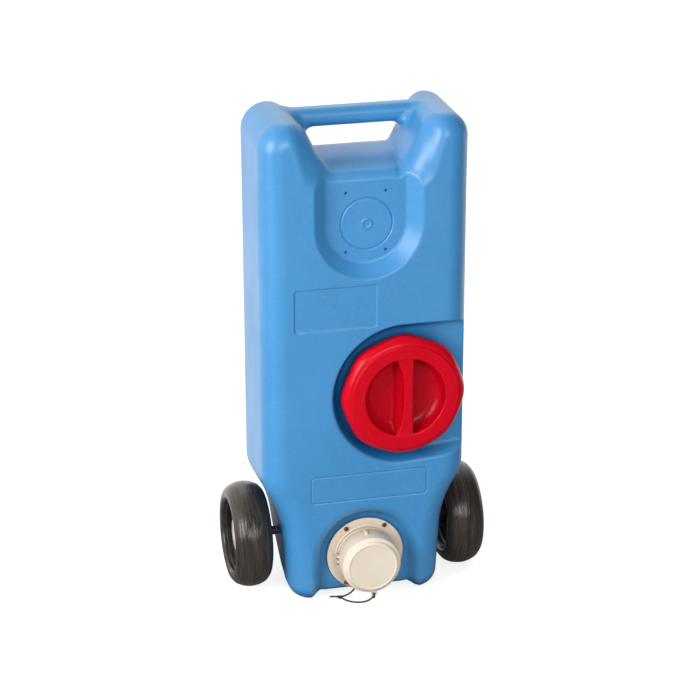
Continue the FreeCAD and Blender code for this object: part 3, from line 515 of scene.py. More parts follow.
def spline(points, per, closed):
    """Catmull-Rom curve through points, per stations to a span."""
    knots = np.array(points, float)
    if closed:
        padded = [knots[-1], *knots, knots[0], knots[1]]
    else:
        padded = [2 * knots[0] - knots[1], *knots, 2 * knots[-1] - knots[-2]]
    curve = []
    for i in range(len(padded) - 3):
        p0, p1, p2, p3 = padded[i:i + 4]
        for k in range(per):
            t = k / per
            curve.append(0.5 * ((2 * p1) + (p2 - p0) * t
                                + (2 * p0 - 5 * p1 + 4 * p2 - p3) * t * t
                                + (3 * p1 - p0 - 3 * p2 + p3) * t ** 3))
    if not closed:
        curve.append(knots[-1])
    return np.array(curve)


CORD_SIDES = 14
STRAND_DEPTH = 0.10  # share of the radius
STRAND_PITCH = 2.4


def cord(name, points, radius, closed=False, per=14):
    """Laid cord: a tube along a smooth curve whose section carries three strands."""
    curve = spline(points, per, closed)
    count = len(curve)
    if closed:
        tangent = (np.roll(curve, -1, 0) - np.roll(curve, 1, 0))
    else:
        tangent = np.gradient(curve, axis=0)
    tangent /= np.linalg.norm(tangent, axis=1)[:, None]
    normal = np.zeros_like(curve)
    normal[0] = np.cross(tangent[0], np.array([0.31, 0.42, 0.85]))
    normal[0] /= np.linalg.norm(normal[0])
    for i in range(1, count):
        carried = normal[i - 1] - tangent[i] * (normal[i - 1] @ tangent[i])
        normal[i] = carried / np.linalg.norm(carried)
    if closed:
        # spread the twist left at the seam along the loop
        carried = normal[-1] - tangent[0] * (normal[-1] @ tangent[0])
        carried /= np.linalg.norm(carried)
        twist = math.atan2(float(np.cross(normal[0], carried) @ tangent[0]),
                           float(normal[0] @ carried))
        for i in range(count):
            turn = -twist * i / count
            across = np.cross(tangent[i], normal[i])
            normal[i] = normal[i] * math.cos(turn) + across * math.sin(turn)
    binormal = np.cross(tangent, normal)
    along = np.r_[0.0, np.cumsum(np.linalg.norm(np.diff(curve, axis=0), axis=1))]
    theta = np.arange(CORD_SIDES) * 2 * math.pi / CORD_SIDES
    lay = 2 * math.pi * along / STRAND_PITCH
    if closed:
        total = along[-1] + np.linalg.norm(curve[0] - curve[-1])
        lay = 2 * math.pi * np.round(total / STRAND_PITCH / 3.0) * 3.0 * along / total
    wave = np.cos(3 * theta[None, :] - lay[:, None])
    section = radius * (1.0 - STRAND_DEPTH + STRAND_DEPTH * wave)
    verts = curve[:, None, :] + section[..., None] * (
        normal[:, None, :] * np.cos(theta)[None, :, None]
        + binormal[:, None, :] * np.sin(theta)[None, :, None])
    faces = []
    for i in range(count if closed else count - 1):
        row, after = i * CORD_SIDES, (i + 1) % count * CORD_SIDES
        for k in range(CORD_SIDES):
            m = (k + 1) % CORD_SIDES
            faces.append((row + k, row + m, after + m, after + k))
    if not closed:
        faces.append(tuple(reversed(range(CORD_SIDES))))
        faces.append(tuple((count - 1) * CORD_SIDES + k for k in range(CORD_SIDES)))
    mesh = bpy.data.meshes.new(name)
    mesh.from_pydata((verts.reshape(-1, 3) * MM).tolist(), [], faces)
    mesh.update()
    mesh.polygons.foreach_set("use_smooth", [len(face) == 4 for face in faces])
    return add_object(name, mesh)


# =====================================================================
# Filler cap.  In the caps, out is the height in front of the seat and rise is upwards.
# =====================================================================
CAP_LOBE_ANGLE = np.pi / 4
CAP_FACE = 44.0
BOWL_RADIUS = 66.0  # nominal, scales the curves of the bowl and the bar


def filler_cap_shape(points):
    across, rise, out = points[:, 0] - FILL_X, points[:, 2] - FILL_Z, FILL_Y - points[:, 1]
    rho = np.hypot(across, rise)
    # eight-sided, softly lobed side with a cone above it
    half_lobe = CAP_LOBE_ANGLE / 2
    lobe = np.abs((np.arctan2(rise, across) % CAP_LOBE_ANGLE) - half_lobe)
    flats = rho * np.cos(lobe) - 100.9 - 0.5 * np.cos(lobe * np.pi / half_lobe)
    corners = rho * np.cos(CAP_LOBE_ANGLE - lobe) - 100.6
    taper = soft_max((24.0 - out) * 0.42, 0.0, 5.0)
    side = (soft_max(flats, corners, 15.0) + taper) * 0.94
    cone = (rho - 90.3) * 0.657 + (out - 43.2) * 0.754
    dist = soft_max(side, cone, 8.0)
    # front ring stands a little proud of the sloping shoulder
    ring = round_and(rho - 89.0, out - CAP_FACE, 1.3)
    ring = np.maximum(ring, 30.0 - out)
    dist = round_and(dist, out - 41.4, 2.0)
    dist = round_or(dist, ring, 0.9)
    dist = round_and(dist, 5.0 - out, 1.2)
    # hollow behind the face, with the finger cup standing in it
    hollow = np.maximum(rho - 86.0, out - 36.4)
    cup = np.maximum(rho - 71.5, 12.5 - out)
    dist = np.maximum(dist, -np.maximum(hollow, -cup))
    # finger pockets: a dished bowl, parted by the upright grip bar
    bowl = round_and(rho - 67.0 + (CAP_FACE - out) * 0.10,
                     15.4 + 7.0 * (rho / BOWL_RADIUS) ** 2 - out, 15.0)
    wide = np.abs(rise) / BOWL_RADIUS
    left_edge = -1.5 - 12.5 * wide ** 2.6
    right_edge = 12.6 + 0.8 * wide ** 4
    cove = 14.0 * (np.maximum(CAP_FACE - out, 0.0) / 28.0) ** 1.7
    bar = np.maximum(left_edge - cove - across, across - right_edge - cove * 0.35) * 0.86
    crest = out - 43.4 + 1.2 * (1.0 - np.minimum(wide, 1.0) ** 2)
    bowl = carve(bowl, round_and(bar, crest, 1.6), 3.0)
    dist = carve(dist, bowl, 2.2)
    # small round pip on the bar
    pip = np.hypot(across - 5.6, rise + 3.0)
    return dist - 0.7 * ease(1.9, 0.9, pip) * (out > 38.0)


filler_cap = solid("filler_cap", filler_cap_shape, low=(-52.0, -101.5, 251.0),
                   high=(170.0, -57.5, 475.0), step=1.9, max_tris=110000,
                   fine=([(48.0, 76.0, 1.4)], [(-100.5, -94.0, 0.9)], []))
attach(filler_cap, "fill_cap_body", "fill_cap", "cap_red")


# =====================================================================
# Drain flange and drain cap
# =====================================================================
FLANGE_RADIUS, SPIGOT_RADIUS, SPIGOT_BORE_RADIUS = 65.0, 42.0, 37.0
SCREW_X, SCREW_RISE = 32.5, 49.0
FLANGE_HALF_BOX = 68.0

# blocks standing on the drain cap: centre, half size (both x, rise, out), edge radius,
# radius where they join
DRAIN_LUGS = [
    ((-5.5, 50.2, 28.0), (2.5, 3.9, 8.0), 1.1, 1.2),
    ((0.0, -49.5, 20.0), (2.6, 3.0, 6.0), 1.0, 1.2),
    ((-50.0, -8.6, 20.0), (3.3, 1.7, 6.5), 0.9, 1.0),
    ((-50.0, 0.0, 20.0), (3.3, 1.7, 6.5), 0.9, 1.0),
    ((-50.0, 8.6, 20.0), (3.3, 1.7, 6.5), 0.9, 1.0),
    ((50.0, 0.0, 21.0), (3.0, 2.4, 7.0), 1.0, 1.2),
]
TAB_X = 3.0


def flange_shape(points):
    x, rise, out = points[:, 0], points[:, 2] - DRAIN_Z, DRAIN_Y - points[:, 1]
    rho = np.hypot(x, rise)
    dist = round_and(rho - FLANGE_RADIUS, np.maximum(out - 6.0, 1.0 - out), 1.7)
    # shallow raised ring at the root of the spigot
    root = round_and(np.abs(rho - 46.5) - 5.0, out - 7.4, 1.0)
    dist = round_or(dist, np.maximum(root, 3.0 - out), 1.4)
    spigot = np.maximum(round_and(rho - SPIGOT_RADIUS, out - 46.0, 0.8), -12.0 - out)
    spigot = np.where(out < 1.0, np.maximum(rho - 39.2, -12.0 - out), spigot)
    dist = round_or(dist, spigot, 1.0)
    dist = carve(dist, rho - SPIGOT_BORE_RADIUS, 0.8)
    # countersunk rims round the four screws
    for side_x, side_z in itertools.product((-1, 1), repeat=2):
        reach = np.hypot(x - SCREW_X * side_x, rise - SCREW_RISE * side_z)
        pad = round_and(reach - 5.4, out - 6.4, 0.5)
        dist = round_or(dist, np.maximum(pad, 3.0 - out), 0.8)
        dist = np.maximum(dist, -np.maximum(reach - 2.3, -out))
        dist = carve(dist, np.maximum(reach - 4.0, 5.7 - out), 0.4)
    # two opposite bayonet teeth on the spigot
    theta = np.arctan2(rise, x)
    for degrees in (58, 238):
        turn = (theta - math.radians(degrees) + np.pi) % (2 * np.pi) - np.pi
        arc = np.abs(turn) * SPIGOT_RADIUS
        tooth = np.maximum(arc - 6.0, np.abs(rho - SPIGOT_RADIUS) - 0.9)
        dist = round_or(dist, np.maximum(tooth, np.abs(out - 26.0) - 2.5), 0.5)
    # cord hole
    return carve(dist, np.hypot(x + 17.0, rise + 56.0) - 1.9, 0.5)


flange = solid("drain_flange_body", flange_shape,
               low=(-FLANGE_HALF_BOX, -108.0, DRAIN_Z - FLANGE_HALF_BOX),
               high=(FLANGE_HALF_BOX, -46.0, DRAIN_Z + FLANGE_HALF_BOX),
               step=1.35, fine=([], [(-69.0, -59.0, 0.9)], []), max_tris=60000)
attach(flange, "tank", "drain_flange", "drain_cream")


def drain_cap_shape(points):
    x, rise, out = points[:, 0], points[:, 2] - DRAIN_Z, DRAIN_Y - points[:, 1]
    rho = np.hypot(x, rise)
    dist = round_and(rho - 49.5 + np.maximum(30.0 - out, 0.0) * 0.012,
                     np.maximum(out - 52.3, 8.0 - out), 3.4)
    # bead at the rear rim
    dist = round_or(dist, box(rho, out, (50.3, 10.5), (0.0, 2.3), 1.2)
                    if False else round_and(rho - 50.3, np.abs(out - 10.5) - 2.3, 1.2), 1.0)
    # stepped face: raised disc with a dished middle inside a rim
    disc = round_and(rho - 44.3 + (out - 52.0) * 0.16, np.maximum(out - 58.8, 40.0 - out), 3.2)
    dist = round_or(dist, disc, 2.2)
    dist = carve(dist, round_and(rho - 38.9, 58.2 - out, 1.0), 1.2)
    # two faint rings at the centre
    marked = dist - 0.34 * np.exp(-((rho - 2.4) / 1.3) ** 2)
    marked = marked - 0.12 * np.exp(-((rho - 6.2) / 0.8) ** 2)
    dist = np.where(out > 54.0, marked, dist)
    # hollow inside
    dist = carve(dist, np.maximum(rho - 45.5, out - 48.4), 0.6)
    for centre, half, edge, join in DRAIN_LUGS:
        lug = box(x, rise, centre, half, edge)
        lug = round_and(lug, np.abs(out - centre[2]) - half[2], edge)
        dist = round_or(dist, lug, join)
    # cord tab with its eye
    tab = np.hypot(x - TAB_X, rise + 50.0) - 5.6
    neck = np.maximum(np.abs(x - TAB_X) - 5.6, np.abs(rise + 46.0) - 4.5)
    tab = round_and(np.minimum(tab, neck), np.abs(out - 52.5) - 1.5, 0.8)
    dist = round_or(dist, tab, 1.0)
    eye = np.hypot(x - TAB_X, rise + 50.8) - 2.2 + 100.0 * (rise > -45.0)
    return carve(dist, eye, 0.5)


drain_cap = solid("drain_cap_body_piece", drain_cap_shape, low=(-56.5, -121.0, 16.5),
                  high=(56.5, -66.0, 132.0), step=1.15, max_tris=80000,
                  fine=([], [(-120.0, -110.0, 0.8)], []))
attach(drain_cap, "drain_cap_body", "drain_cap", "drain_cream")

# =====================================================================
# Wheels.  Heights run outboard from the wheel's inner face.
# =====================================================================
WHEEL_INNER_X, WHEEL_OUTER_X = 150.0, 206.0
DISC_MID = 30.0
DISC_HALF_BOX, DISC_MARGIN = 63.0, 1.5
SPOKE_ANGLE = np.pi / 4

# (radius, height, corner radius)
TYRE = [(61.0, 6.6, 2.0), (63.0, 2.2, 2.5), (67.0, 0.3, 3.5), (74.0, 0.9, 12.0),
        (82.5, 8.0, 14.0), (87.3, 18.0, 26.0), (88.9, 29.0, 16.0), (89.0, 33.3, 0.1),
        (88.5, 33.9, 0.1), (89.0, 34.5, 0.1), (88.9, 36.0, 10.0), (87.3, 45.0, 26.0),
        (82.6, 56.0, 14.0), (75.0, 62.8, 10.0), (69.5, 64.0, 5.0), (64.4, 62.9, 3.0),
        (61.0, 59.4, 2.4)]
HUB_COVER = [(30.2, 33.0, 0.0), (32.6, 33.0, 0.4), (33.0, 47.0, 3.2), (28.6, 51.0, 3.4),
             (19.0, 52.6, 8.0), (8.5, 53.0, 4.0), (6.8, 52.0, 1.2), (0.0, 52.0, 0.0),
             (0.0, 50.2, 0.0), (18.0, 50.0, 6.0), (26.0, 48.6, 3.0), (30.2, 46.0, 2.0)]


def disc_shape(points, sign):
    height = points[:, 0] * sign - WHEEL_INNER_X
    y, z = points[:, 1] - AXLE_Y, points[:, 2] - AXLE_Z
    rho = np.hypot(y, z)
    theta = np.arctan2(z, y)
    # outer band with two ribs inside it, and the web
    band = box(rho, height, (58.75, DISC_MID), (2.25, 25.0), 0.9)
    ribs = box(rho, np.abs(height - DISC_MID), (55.8, 14.0), (1.6, 1.6), 0.8)
    band = round_or(band, ribs, 1.2)
    web = np.maximum(np.abs(height - DISC_MID) - 3.0, rho - 58.0)
    dist = round_or(band, web, 3.0)
    # eight spokes stand proud of the web, a window between each pair
    turn = (theta + SPOKE_ANGLE / 2) % SPOKE_ANGLE - SPOKE_ANGLE / 2
    spoke = np.abs(rho * np.sin(turn)) - 2.2
    spoke = np.where(rho < 14.0, np.full_like(rho, 2.0), spoke)
    spoke = round_and(spoke, np.abs(height - 29.0) - 9.0, 1.2)
    dist = round_or(dist, np.maximum(spoke, rho - 58.0), 2.0)
    turn = theta % SPOKE_ANGLE - SPOKE_ANGLE / 2
    window = np.hypot(rho * np.cos(turn) - 44.5, rho * np.sin(turn)) - 9.2
    dist = carve(dist, window, 1.2)
    hub = round_and(rho - 15.0, np.maximum(height - 37.0, -height), 1.0)
    return np.maximum(round_or(dist, hub, 3.0), 6.05 - rho)


for side, sign in (("left", -1.0), ("right", 1.0)):
    node = "wheel_" + side
    origin = (WHEEL_INNER_X * sign, AXLE_Y, AXLE_Z)
    tyre = turned("tyre_ring_" + side, TYRE, origin, sign, segs=200)
    attach(tyre, node, "tyre_" + side, "tyre_black")
    faces_x = sorted((WHEEL_INNER_X * sign, WHEEL_OUTER_X * sign))
    disc = solid("wheel_disc_" + side, lambda points: disc_shape(points, sign),
                 low=(faces_x[0] - DISC_MARGIN, AXLE_Y - DISC_HALF_BOX, AXLE_Z - DISC_HALF_BOX),
                 high=(faces_x[1] + DISC_MARGIN, AXLE_Y + DISC_HALF_BOX, AXLE_Z + DISC_HALF_BOX),
                 step=1.6, max_tris=60000)
    attach(disc, node, "wheel_centre_" + side, "wheel_black")
    cover = turned("hub_cover_" + side, HUB_COVER, origin, sign, segs=96)
    attach(cover, node, "hub_cap_" + side, "hub_grey")

# =====================================================================
# Retaining cord: centre lines in mm
# =====================================================================
FLANGE_STRAND = [(-17, -56.0, 19.0), (-17, -66.5, 18.9), (-18.5, -70.8, 17.0),
                 (-23, -73.0, 12.2), (-30, -74.0, 7.8), (-38, -74.7, 5.2), (-44.5, -75, 4.2)]
CAP_STRAND = [(-44.0, -76.5, 3.5), (-37, -86, 2.2), (-25, -94.5, 1.8), (-12, -98.5, 2.6),
              (-3.5, -102.5, 6.6), (0.6, -106.5, 12.0), (2.6, -109.2, 16.8)]
EYE_LOOP = [(2.8, -109.0, 16.6), (3.0, -109.6, 21.4), (3.0, -112.4, 24.2), (3.0, -115.6, 23.0),
            (3.1, -116.4, 19.0), (3.0, -113.6, 16.2), (2.9, -110.6, 15.8)]
TAIL = [(-46.5, -75.0, 4.3), (-50.5, -74.1, 4.8), (-55, -72.5, 5.0), (-59.5, -70.4, 4.2),
        (-61.4, -69.4, 3.6)]


def knot_line():
    """A trefoil in the xz plane, weaving in y."""
    line = []
    for k in range(24):
        turn = 2 * math.pi * k / 24
        line.append((-46.4 + 1.9 * (math.sin(turn) + 0.9 * math.sin(2 * turn)),
                     -75.0 + 1.7 * math.sin(3 * turn),
                     4.4 + 1.25 * (math.cos(turn) - 0.9 * math.cos(2 * turn))))
    return line


flange_strand = cord("cord_a", FLANGE_STRAND, radius=1.6)
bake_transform(flange_strand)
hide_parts("cord_flange_strand")
cap_strand = cord("cord_b", CAP_STRAND, radius=1.6)
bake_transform(cap_strand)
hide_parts("cord_cap_strand")
loop = cord("cord_loop", EYE_LOOP, radius=1.45, closed=True)
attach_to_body(loop, "drain_cap_body")
knot = cord("cord_knot_piece", knot_line(), radius=1.4, closed=True, per=6)
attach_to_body(knot, "drain_pull")
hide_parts("cord_knot")
tail = cord("cord_end", TAIL, radius=1.55)
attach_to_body(tail, "drain_pull")
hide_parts("cord_tail")
for piece in (flange_strand, cap_strand, loop, knot, tail):
    set_slot(piece, "cord_black")


# =====================================================================
# Materials.  Lengths are in metres; noise scales are per metre.
# =====================================================================
class Nodes:
    """Short forms for building a node tree."""

    def __init__(self, tree, coords="Object"):
        self.tree = tree
        self.coords = self.new("TexCoord").outputs[coords]

    def new(self, kind):
        return self.tree.nodes.new("ShaderNode" + kind)

    def put(self, socket, value):
        if isinstance(value, bpy.types.NodeSocket):
            self.tree.links.new(value, socket)
        elif isinstance(value, tuple) and len(value) == 3 and socket.type == "RGBA":
            socket.default_value = (*value, 1.0)
        else:
            socket.default_value = value

    def fill(self, node, values):
        for key, value in values.items():
            self.put(node.inputs[key], value)
        return node

    def noise(self, scale, detail=3.0, rough=0.55, vec=None):
        return self.fill(self.new("TexNoise"), {
            "Vector": vec or self.coords, "Scale": scale, "Detail": detail,
            "Roughness": rough}).outputs[0]

    def stretch(self, scale, rot=(0, 0, 0)):
        return self.fill(self.new("Mapping"), {
            "Vector": self.coords, "Scale": scale, "Rotation": rot}).outputs[0]

    def span(self, value, start, end, low=0.0, high=1.0):
        """Smooth map of start..end onto low..high."""
        node = self.new("MapRange")
        node.interpolation_type = "SMOOTHSTEP"
        return self.fill(node, {"Value": value, "From Min": start, "From Max": end,
                                "To Min": low, "To Max": high}).outputs["Result"]

    def math(self, operation, a, b=0.0):
        node = self.new("Math")
        node.operation = operation
        return self.fill(node, {0: a, 1: b, 2: 0.0}).outputs[0]

    def add(self, a, b):
        return self.math("ADD", a, b)

    def mul(self, a, b):
        return self.math("MULTIPLY", a, b)

    def blend(self, fac, a, b, mode="MIX"):
        node = self.new("Mix")
        node.data_type = "RGBA"
        node.blend_type = mode
        self.put(node.inputs["Factor"], fac)
        for name, value in (("A", a), ("B", b)):
            self.put([i for i in node.inputs if i.name == name and i.type == "RGBA"][0], value)
        return [o for o in node.outputs if o.type == "RGBA"][0]

    def bump(self, height, dist, under=None):
        values = {"Distance": dist, "Strength": 1.0, "Height": height}
        if under:
            values["Normal"] = under
        return self.fill(self.new("Bump"), values).outputs[0]

    def xyz(self, vec=None):
        return self.fill(self.new("SeparateXYZ"), {0: vec or self.coords}).outputs


def new_material(name):
    """An empty material: the material, its Nodes and its Principled node."""
    mat = bpy.data.materials.new(name)
    mat.use_nodes = True
    tree = mat.node_tree
    tree.nodes.clear()
    output = tree.nodes.new("ShaderNodeOutputMaterial")
    principled = tree.nodes.new("ShaderNodeBsdfPrincipled")
    tree.links.new(principled.outputs[0], output.inputs[0])
    return mat, Nodes(tree), principled


def moulded(name, base, light, dark, rough, grain, grain_scale, wear, scratch, spec=0.5,
            sss=0.0, coat=0.0, coat_rough=0.08, dust=0.0, peel=0.0,
            shade=None, reach=0.03, up_facing_tint=None):
    """Moulded plastic: colour drift, fine grain, hairline scratches and rubbed edges, with
    optional painted shade in the hollows and a painted tint on up-facing sides.
    """
    mat, k, principled = new_material(name)
    drift = k.noise(scale=5.5, detail=3.0, rough=0.6)
    speck = k.noise(scale=160.0, detail=2.0, rough=0.7)
    color = k.blend(k.span(drift, start=0.30, end=0.72), dark, base)
    speck_amount = 0.10
    color = k.blend(k.mul(k.span(speck, start=0.50, end=0.82), speck_amount), color, light)
    # rubbed convex edges
    pointiness = k.new("NewGeometry").outputs["Pointiness"]
    rub_patch = k.span(k.noise(scale=55.0, detail=4.0, rough=0.65), start=0.35, end=0.70)
    rub = k.mul(k.span(pointiness, start=0.51, end=0.60), rub_patch)
    color = k.blend(k.mul(rub, wear), color, light)
    # hairline scratches, stretched two ways
    lines_z = k.stretch(scale=(900.0, 900.0, 22.0), rot=(0.2, 0.5, 0.3))
    lines_x = k.stretch(scale=(30.0, 800.0, 800.0), rot=(0.5, -0.3, 0.2))
    hair_z = k.span(k.noise(scale=1.0, detail=2.0, rough=0.5, vec=lines_z), start=0.70, end=0.78)
    hair_x = k.span(k.noise(scale=1.0, detail=2.0, rough=0.5, vec=lines_x), start=0.71, end=0.79)
    patch = k.span(k.noise(scale=14.0, detail=2.0, rough=0.5), start=0.50, end=0.66)
    hair = k.mul(k.math("MAXIMUM", hair_z, hair_x), k.mul(patch, scratch))
    color = k.blend(hair, color, light)
    if dust > 0:
        dust_color = (0.32, 0.29, 0.25)
        dust_patch = k.span(k.noise(scale=40.0, detail=4.0, rough=0.7), start=0.40, end=0.72)
        low = k.mul(k.span(k.xyz()[2], start=0.09, end=0.0), dust_patch)
        color = k.blend(k.mul(low, dust), color, dust_color)
    if up_facing_tint:
        # painted light: sides that face up take a warmer tint, offsetting the grey of the sky
        # reflected on them
        facing = k.xyz(k.new("NewGeometry").outputs["Normal"])
        color = k.blend(k.span(facing["Z"], start=0.25, end=1.0), color, up_facing_tint)
    if shade:
        # painted shade in the hollows: the colour is multiplied towards the shade tint where
        # ambient occlusion is low
        occlusion = k.new("AmbientOcclusion")
        occlusion.samples = 8
        occlusion.inputs["Distance"].default_value = reach
        open_part = k.span(occlusion.outputs["AO"], start=0.12, end=0.84)
        color = k.blend(1.0, color, k.blend(open_part, shade, (1.0, 1.0, 1.0)), "MULTIPLY")
    sheen = k.span(k.noise(scale=9.0, detail=4.0, rough=0.6), start=0.25, end=0.75,
                   low=rough - 0.045, high=rough + 0.055)
    worn_roughness = 0.12
    cells = k.fill(k.new("TexVoronoi"), {"Vector": k.coords, "Scale": grain_scale})
    fine = k.noise(scale=grain_scale * 0.55, detail=3.0, rough=0.6)
    fine_share = 0.8
    relief = k.bump(k.add(cells.outputs["Distance"], k.mul(fine, fine_share)), dist=grain)
    waves = k.noise(scale=26.0, detail=2.0, rough=0.5)
    relief = k.bump(waves, dist=0.00022 + peel, under=relief)
    relief = k.bump(k.mul(hair, -1.0), dist=0.00004, under=relief)
    values = {"Base Color": color,
              "Roughness": k.add(sheen, k.mul(k.add(hair, rub), worn_roughness)),
              "IOR": 1.5, "Specular IOR Level": spec, "Normal": relief}
    if sss > 0:
        values.update({"Subsurface Weight": sss, "Subsurface Scale": 0.004})
        principled.inputs["Subsurface Radius"].default_value = (1.0, 0.9, 0.8)
    if coat > 0:
        values.update({"Coat Weight": coat, "Coat Roughness": coat_rough})
    k.fill(principled, values)
    return mat


def tyre_material(name):
    """Glossy black ring with flow streaks running round the tread."""
    mat, k, principled = new_material(name)
    x, y, z = k.xyz()
    off_y, off_z = k.add(y, -AXLE_Y * MM), k.add(z, -AXLE_Z * MM)
    angle = k.math("ARCTAN2", off_z, off_y)
    rho = k.math("POWER", k.add(k.mul(off_y, off_y), k.mul(off_z, off_z)), 0.5)
    # coordinates that change quickly across the tread and slowly round it
    across_x, across_radius, around = 260.0, 230.0, 1.3
    ring = k.fill(k.new("CombineXYZ"), {
        0: k.mul(x, across_x),
        1: k.mul(k.math("COSINE", angle), around),
        2: k.add(k.mul(k.math("SINE", angle), around), k.mul(rho, across_radius))})
    streak = k.noise(scale=1.0, detail=3.0, rough=0.6, vec=ring.outputs[0])
    blot = k.noise(scale=32.0, detail=4.0, rough=0.6)
    streak_dark, streak_pale = (0.0215, 0.0160, 0.0115), (0.0500, 0.0390, 0.0290)
    blot_color, blot_amount = (0.040, 0.034, 0.029), 0.22
    tread_color, tread_amount = (0.09, 0.08, 0.07), 0.10
    color = k.blend(k.span(streak, start=0.35, end=0.75), streak_dark, streak_pale)
    blots = k.mul(k.span(blot, start=0.5, end=0.75), blot_amount)
    color = k.blend(blots, color, blot_color)
    tread = k.mul(k.span(rho, start=0.0868, end=0.0886),
                  k.span(k.noise(scale=120.0, detail=4.0, rough=0.7), start=0.42, end=0.66))
    color = k.blend(k.mul(tread, tread_amount), color, tread_color)
    tread_roughness, blot_roughness = 0.07, 0.05
    rough = k.span(streak, start=0.25, end=0.8, low=0.19, high=0.33)
    rough = k.add(rough, k.mul(tread, tread_roughness))
    rough = k.add(rough, k.mul(k.span(blot, start=0.45, end=0.8), blot_roughness))
    relief = k.bump(streak, dist=0.0011)
    relief = k.bump(k.noise(scale=700.0, detail=3.0, rough=0.6), dist=0.00004, under=relief)
    relief = k.bump(k.noise(scale=1500.0, detail=2.0, rough=0.6), dist=0.00002, under=relief)
    k.fill(principled, {"Base Color": color, "Roughness": rough, "Normal": relief,
                        "Specular IOR Level": 0.50})
    return mat


def metal(name, base, rough, line_scale, tarnish=(0.2, 0.15, 0.10), amount=0.3):
    """Plated steel with turning marks and some tarnish."""
    mat, k, principled = new_material(name)
    lines = k.noise(scale=1.0, detail=3.0, rough=0.6, vec=k.stretch(scale=line_scale))
    stain = k.span(k.noise(scale=180.0, detail=4.0, rough=0.65), start=0.42, end=0.70)
    line_color, line_amount = tuple(v * 0.6 for v in base), 0.25
    stain_roughness = 0.12
    color = k.blend(k.mul(stain, amount), base, tarnish)
    line_mask = k.mul(k.span(lines, start=0.4, end=0.7), line_amount)
    sheen = k.span(lines, start=0.2, end=0.8, low=rough - 0.06, high=rough + 0.10)
    pits = k.bump(k.noise(scale=900.0, detail=2.0, rough=0.5), dist=0.00002)
    k.fill(principled, {
        "Base Color": k.blend(line_mask, color, line_color), "Metallic": 1.0,
        "Roughness": k.add(sheen, k.mul(stain, stain_roughness)),
        "Normal": k.bump(lines, dist=0.00003, under=pits)})
    return mat


def fibre(name, base, light):
    """Cord: fine fibres over the laid strands."""
    mat, k, principled = new_material(name)
    along = k.stretch(scale=(2600.0, 2600.0, 700.0), rot=(0.6, 0.3, 0.2))
    hairs = k.noise(scale=1.0, detail=3.0, rough=0.7, vec=along)
    k.fill(principled, {
        "Base Color": k.blend(k.span(hairs, start=0.45, end=0.75), base, light),
        "Roughness": k.span(k.noise(scale=400.0), start=0.3, end=0.7, low=0.62, high=0.88),
        "Sheen Weight": 0.25, "Normal": k.bump(hairs, dist=0.00008)})
    return mat


def rubber(name, base, bloom_color):
    mat, k, principled = new_material(name)
    bloom = k.span(k.noise(scale=70.0, detail=4.0, rough=0.6), start=0.45, end=0.72)
    bloom_amount = 0.5
    relief = k.noise(scale=1400.0, detail=3.0, rough=0.6)
    k.fill(principled, {
        "Base Color": k.blend(k.mul(bloom, bloom_amount), base, bloom_color),
        "Roughness": k.span(k.noise(scale=120.0), start=0.3, end=0.7, low=0.60, high=0.82),
        "Normal": k.bump(relief, dist=0.00004)})
    return mat


# the shade tints below darken hollows as painted shade; the cream's tint on up-facing sides is
# painted light
MATERIALS = {
    "tank_blue": moulded(
        "tank_blue_plastic", base=(0.046, 0.262, 0.556), light=(0.26, 0.50, 0.80),
        dark=(0.037, 0.238, 0.518), rough=0.42, grain=0.000055, grain_scale=820.0, wear=0.16,
        sss=0.05, dust=0.20, scratch=0.045, spec=0.60, coat=0.24, coat_rough=0.34,
        shade=(0.05, 0.38, 0.58), reach=0.040),
    "cap_red": moulded(
        "cap_red_plastic", base=(0.60, 0.0006, 0.014), light=(0.72, 0.05, 0.06),
        dark=(0.52, 0.0004, 0.009), rough=0.25, grain=0.000012, grain_scale=1300.0, wear=0.07,
        peel=0.00006, scratch=0.04, spec=0.15, shade=(0.16, 0.08, 0.10), reach=0.075),
    "drain_cream": moulded(
        "drain_cream_plastic", base=(0.775, 0.690, 0.575), light=(0.88, 0.83, 0.74),
        dark=(0.725, 0.635, 0.510), rough=0.40, grain=0.00003, grain_scale=1100.0, wear=0.2,
        sss=0.08, dust=0.16, scratch=0.06, spec=0.22, shade=(0.50, 0.41, 0.33), reach=0.050,
        up_facing_tint=(0.77, 0.675, 0.545)),
    "wheel_black": moulded(
        "wheel_black_plastic", base=(0.017, 0.016, 0.016), light=(0.075, 0.072, 0.070),
        dark=(0.011, 0.010, 0.010), rough=0.42, grain=0.00004, grain_scale=1000.0, wear=0.45,
        dust=0.25, scratch=0.25),
    "hub_grey": moulded(
        "hub_grey_plastic", base=(0.66, 0.60, 0.55), light=(0.78, 0.74, 0.70),
        dark=(0.60, 0.545, 0.50), rough=0.34, grain=0.00003, grain_scale=1100.0, wear=0.30,
        scratch=0.25),
    "tyre_black": tyre_material("tyre_gloss_black"),
    "axle_steel": metal("axle_zinc", base=(0.58, 0.58, 0.57), rough=0.30,
                        line_scale=(900.0, 60.0, 60.0)),
    "screw_steel": metal("screw_bronzed", base=(0.20, 0.125, 0.075), rough=0.42,
                         line_scale=(300.0, 1500.0, 300.0), tarnish=(0.06, 0.035, 0.02),
                         amount=0.6),
    "cord_black": fibre("cord_fibre", base=(0.008, 0.008, 0.009), light=(0.030, 0.029, 0.028)),
    "seal_rubber": rubber("seal_rubber_black", base=(0.014, 0.014, 0.014),
                          bloom_color=(0.07, 0.07, 0.068)),
}

# the CAD pieces that still show take the material of their slot
slot_of = {part["node"]: part["material_slot"] for part in frame["record"]["subparts"]}
visible = [(obj, slot_of[name]) for name, obj in frame["nodes"].items() if not obj.hide_render]
for obj, slot in built + visible:
    obj.data.materials.clear()
    obj.data.materials.append(MATERIALS[slot])

# =====================================================================
# Stage, light and camera
# =====================================================================
scene.view_settings.view_transform = "Standard"
scene.view_settings.look = "None"
scene.view_settings.exposure = 0.0
scene.view_settings.gamma = 1.0


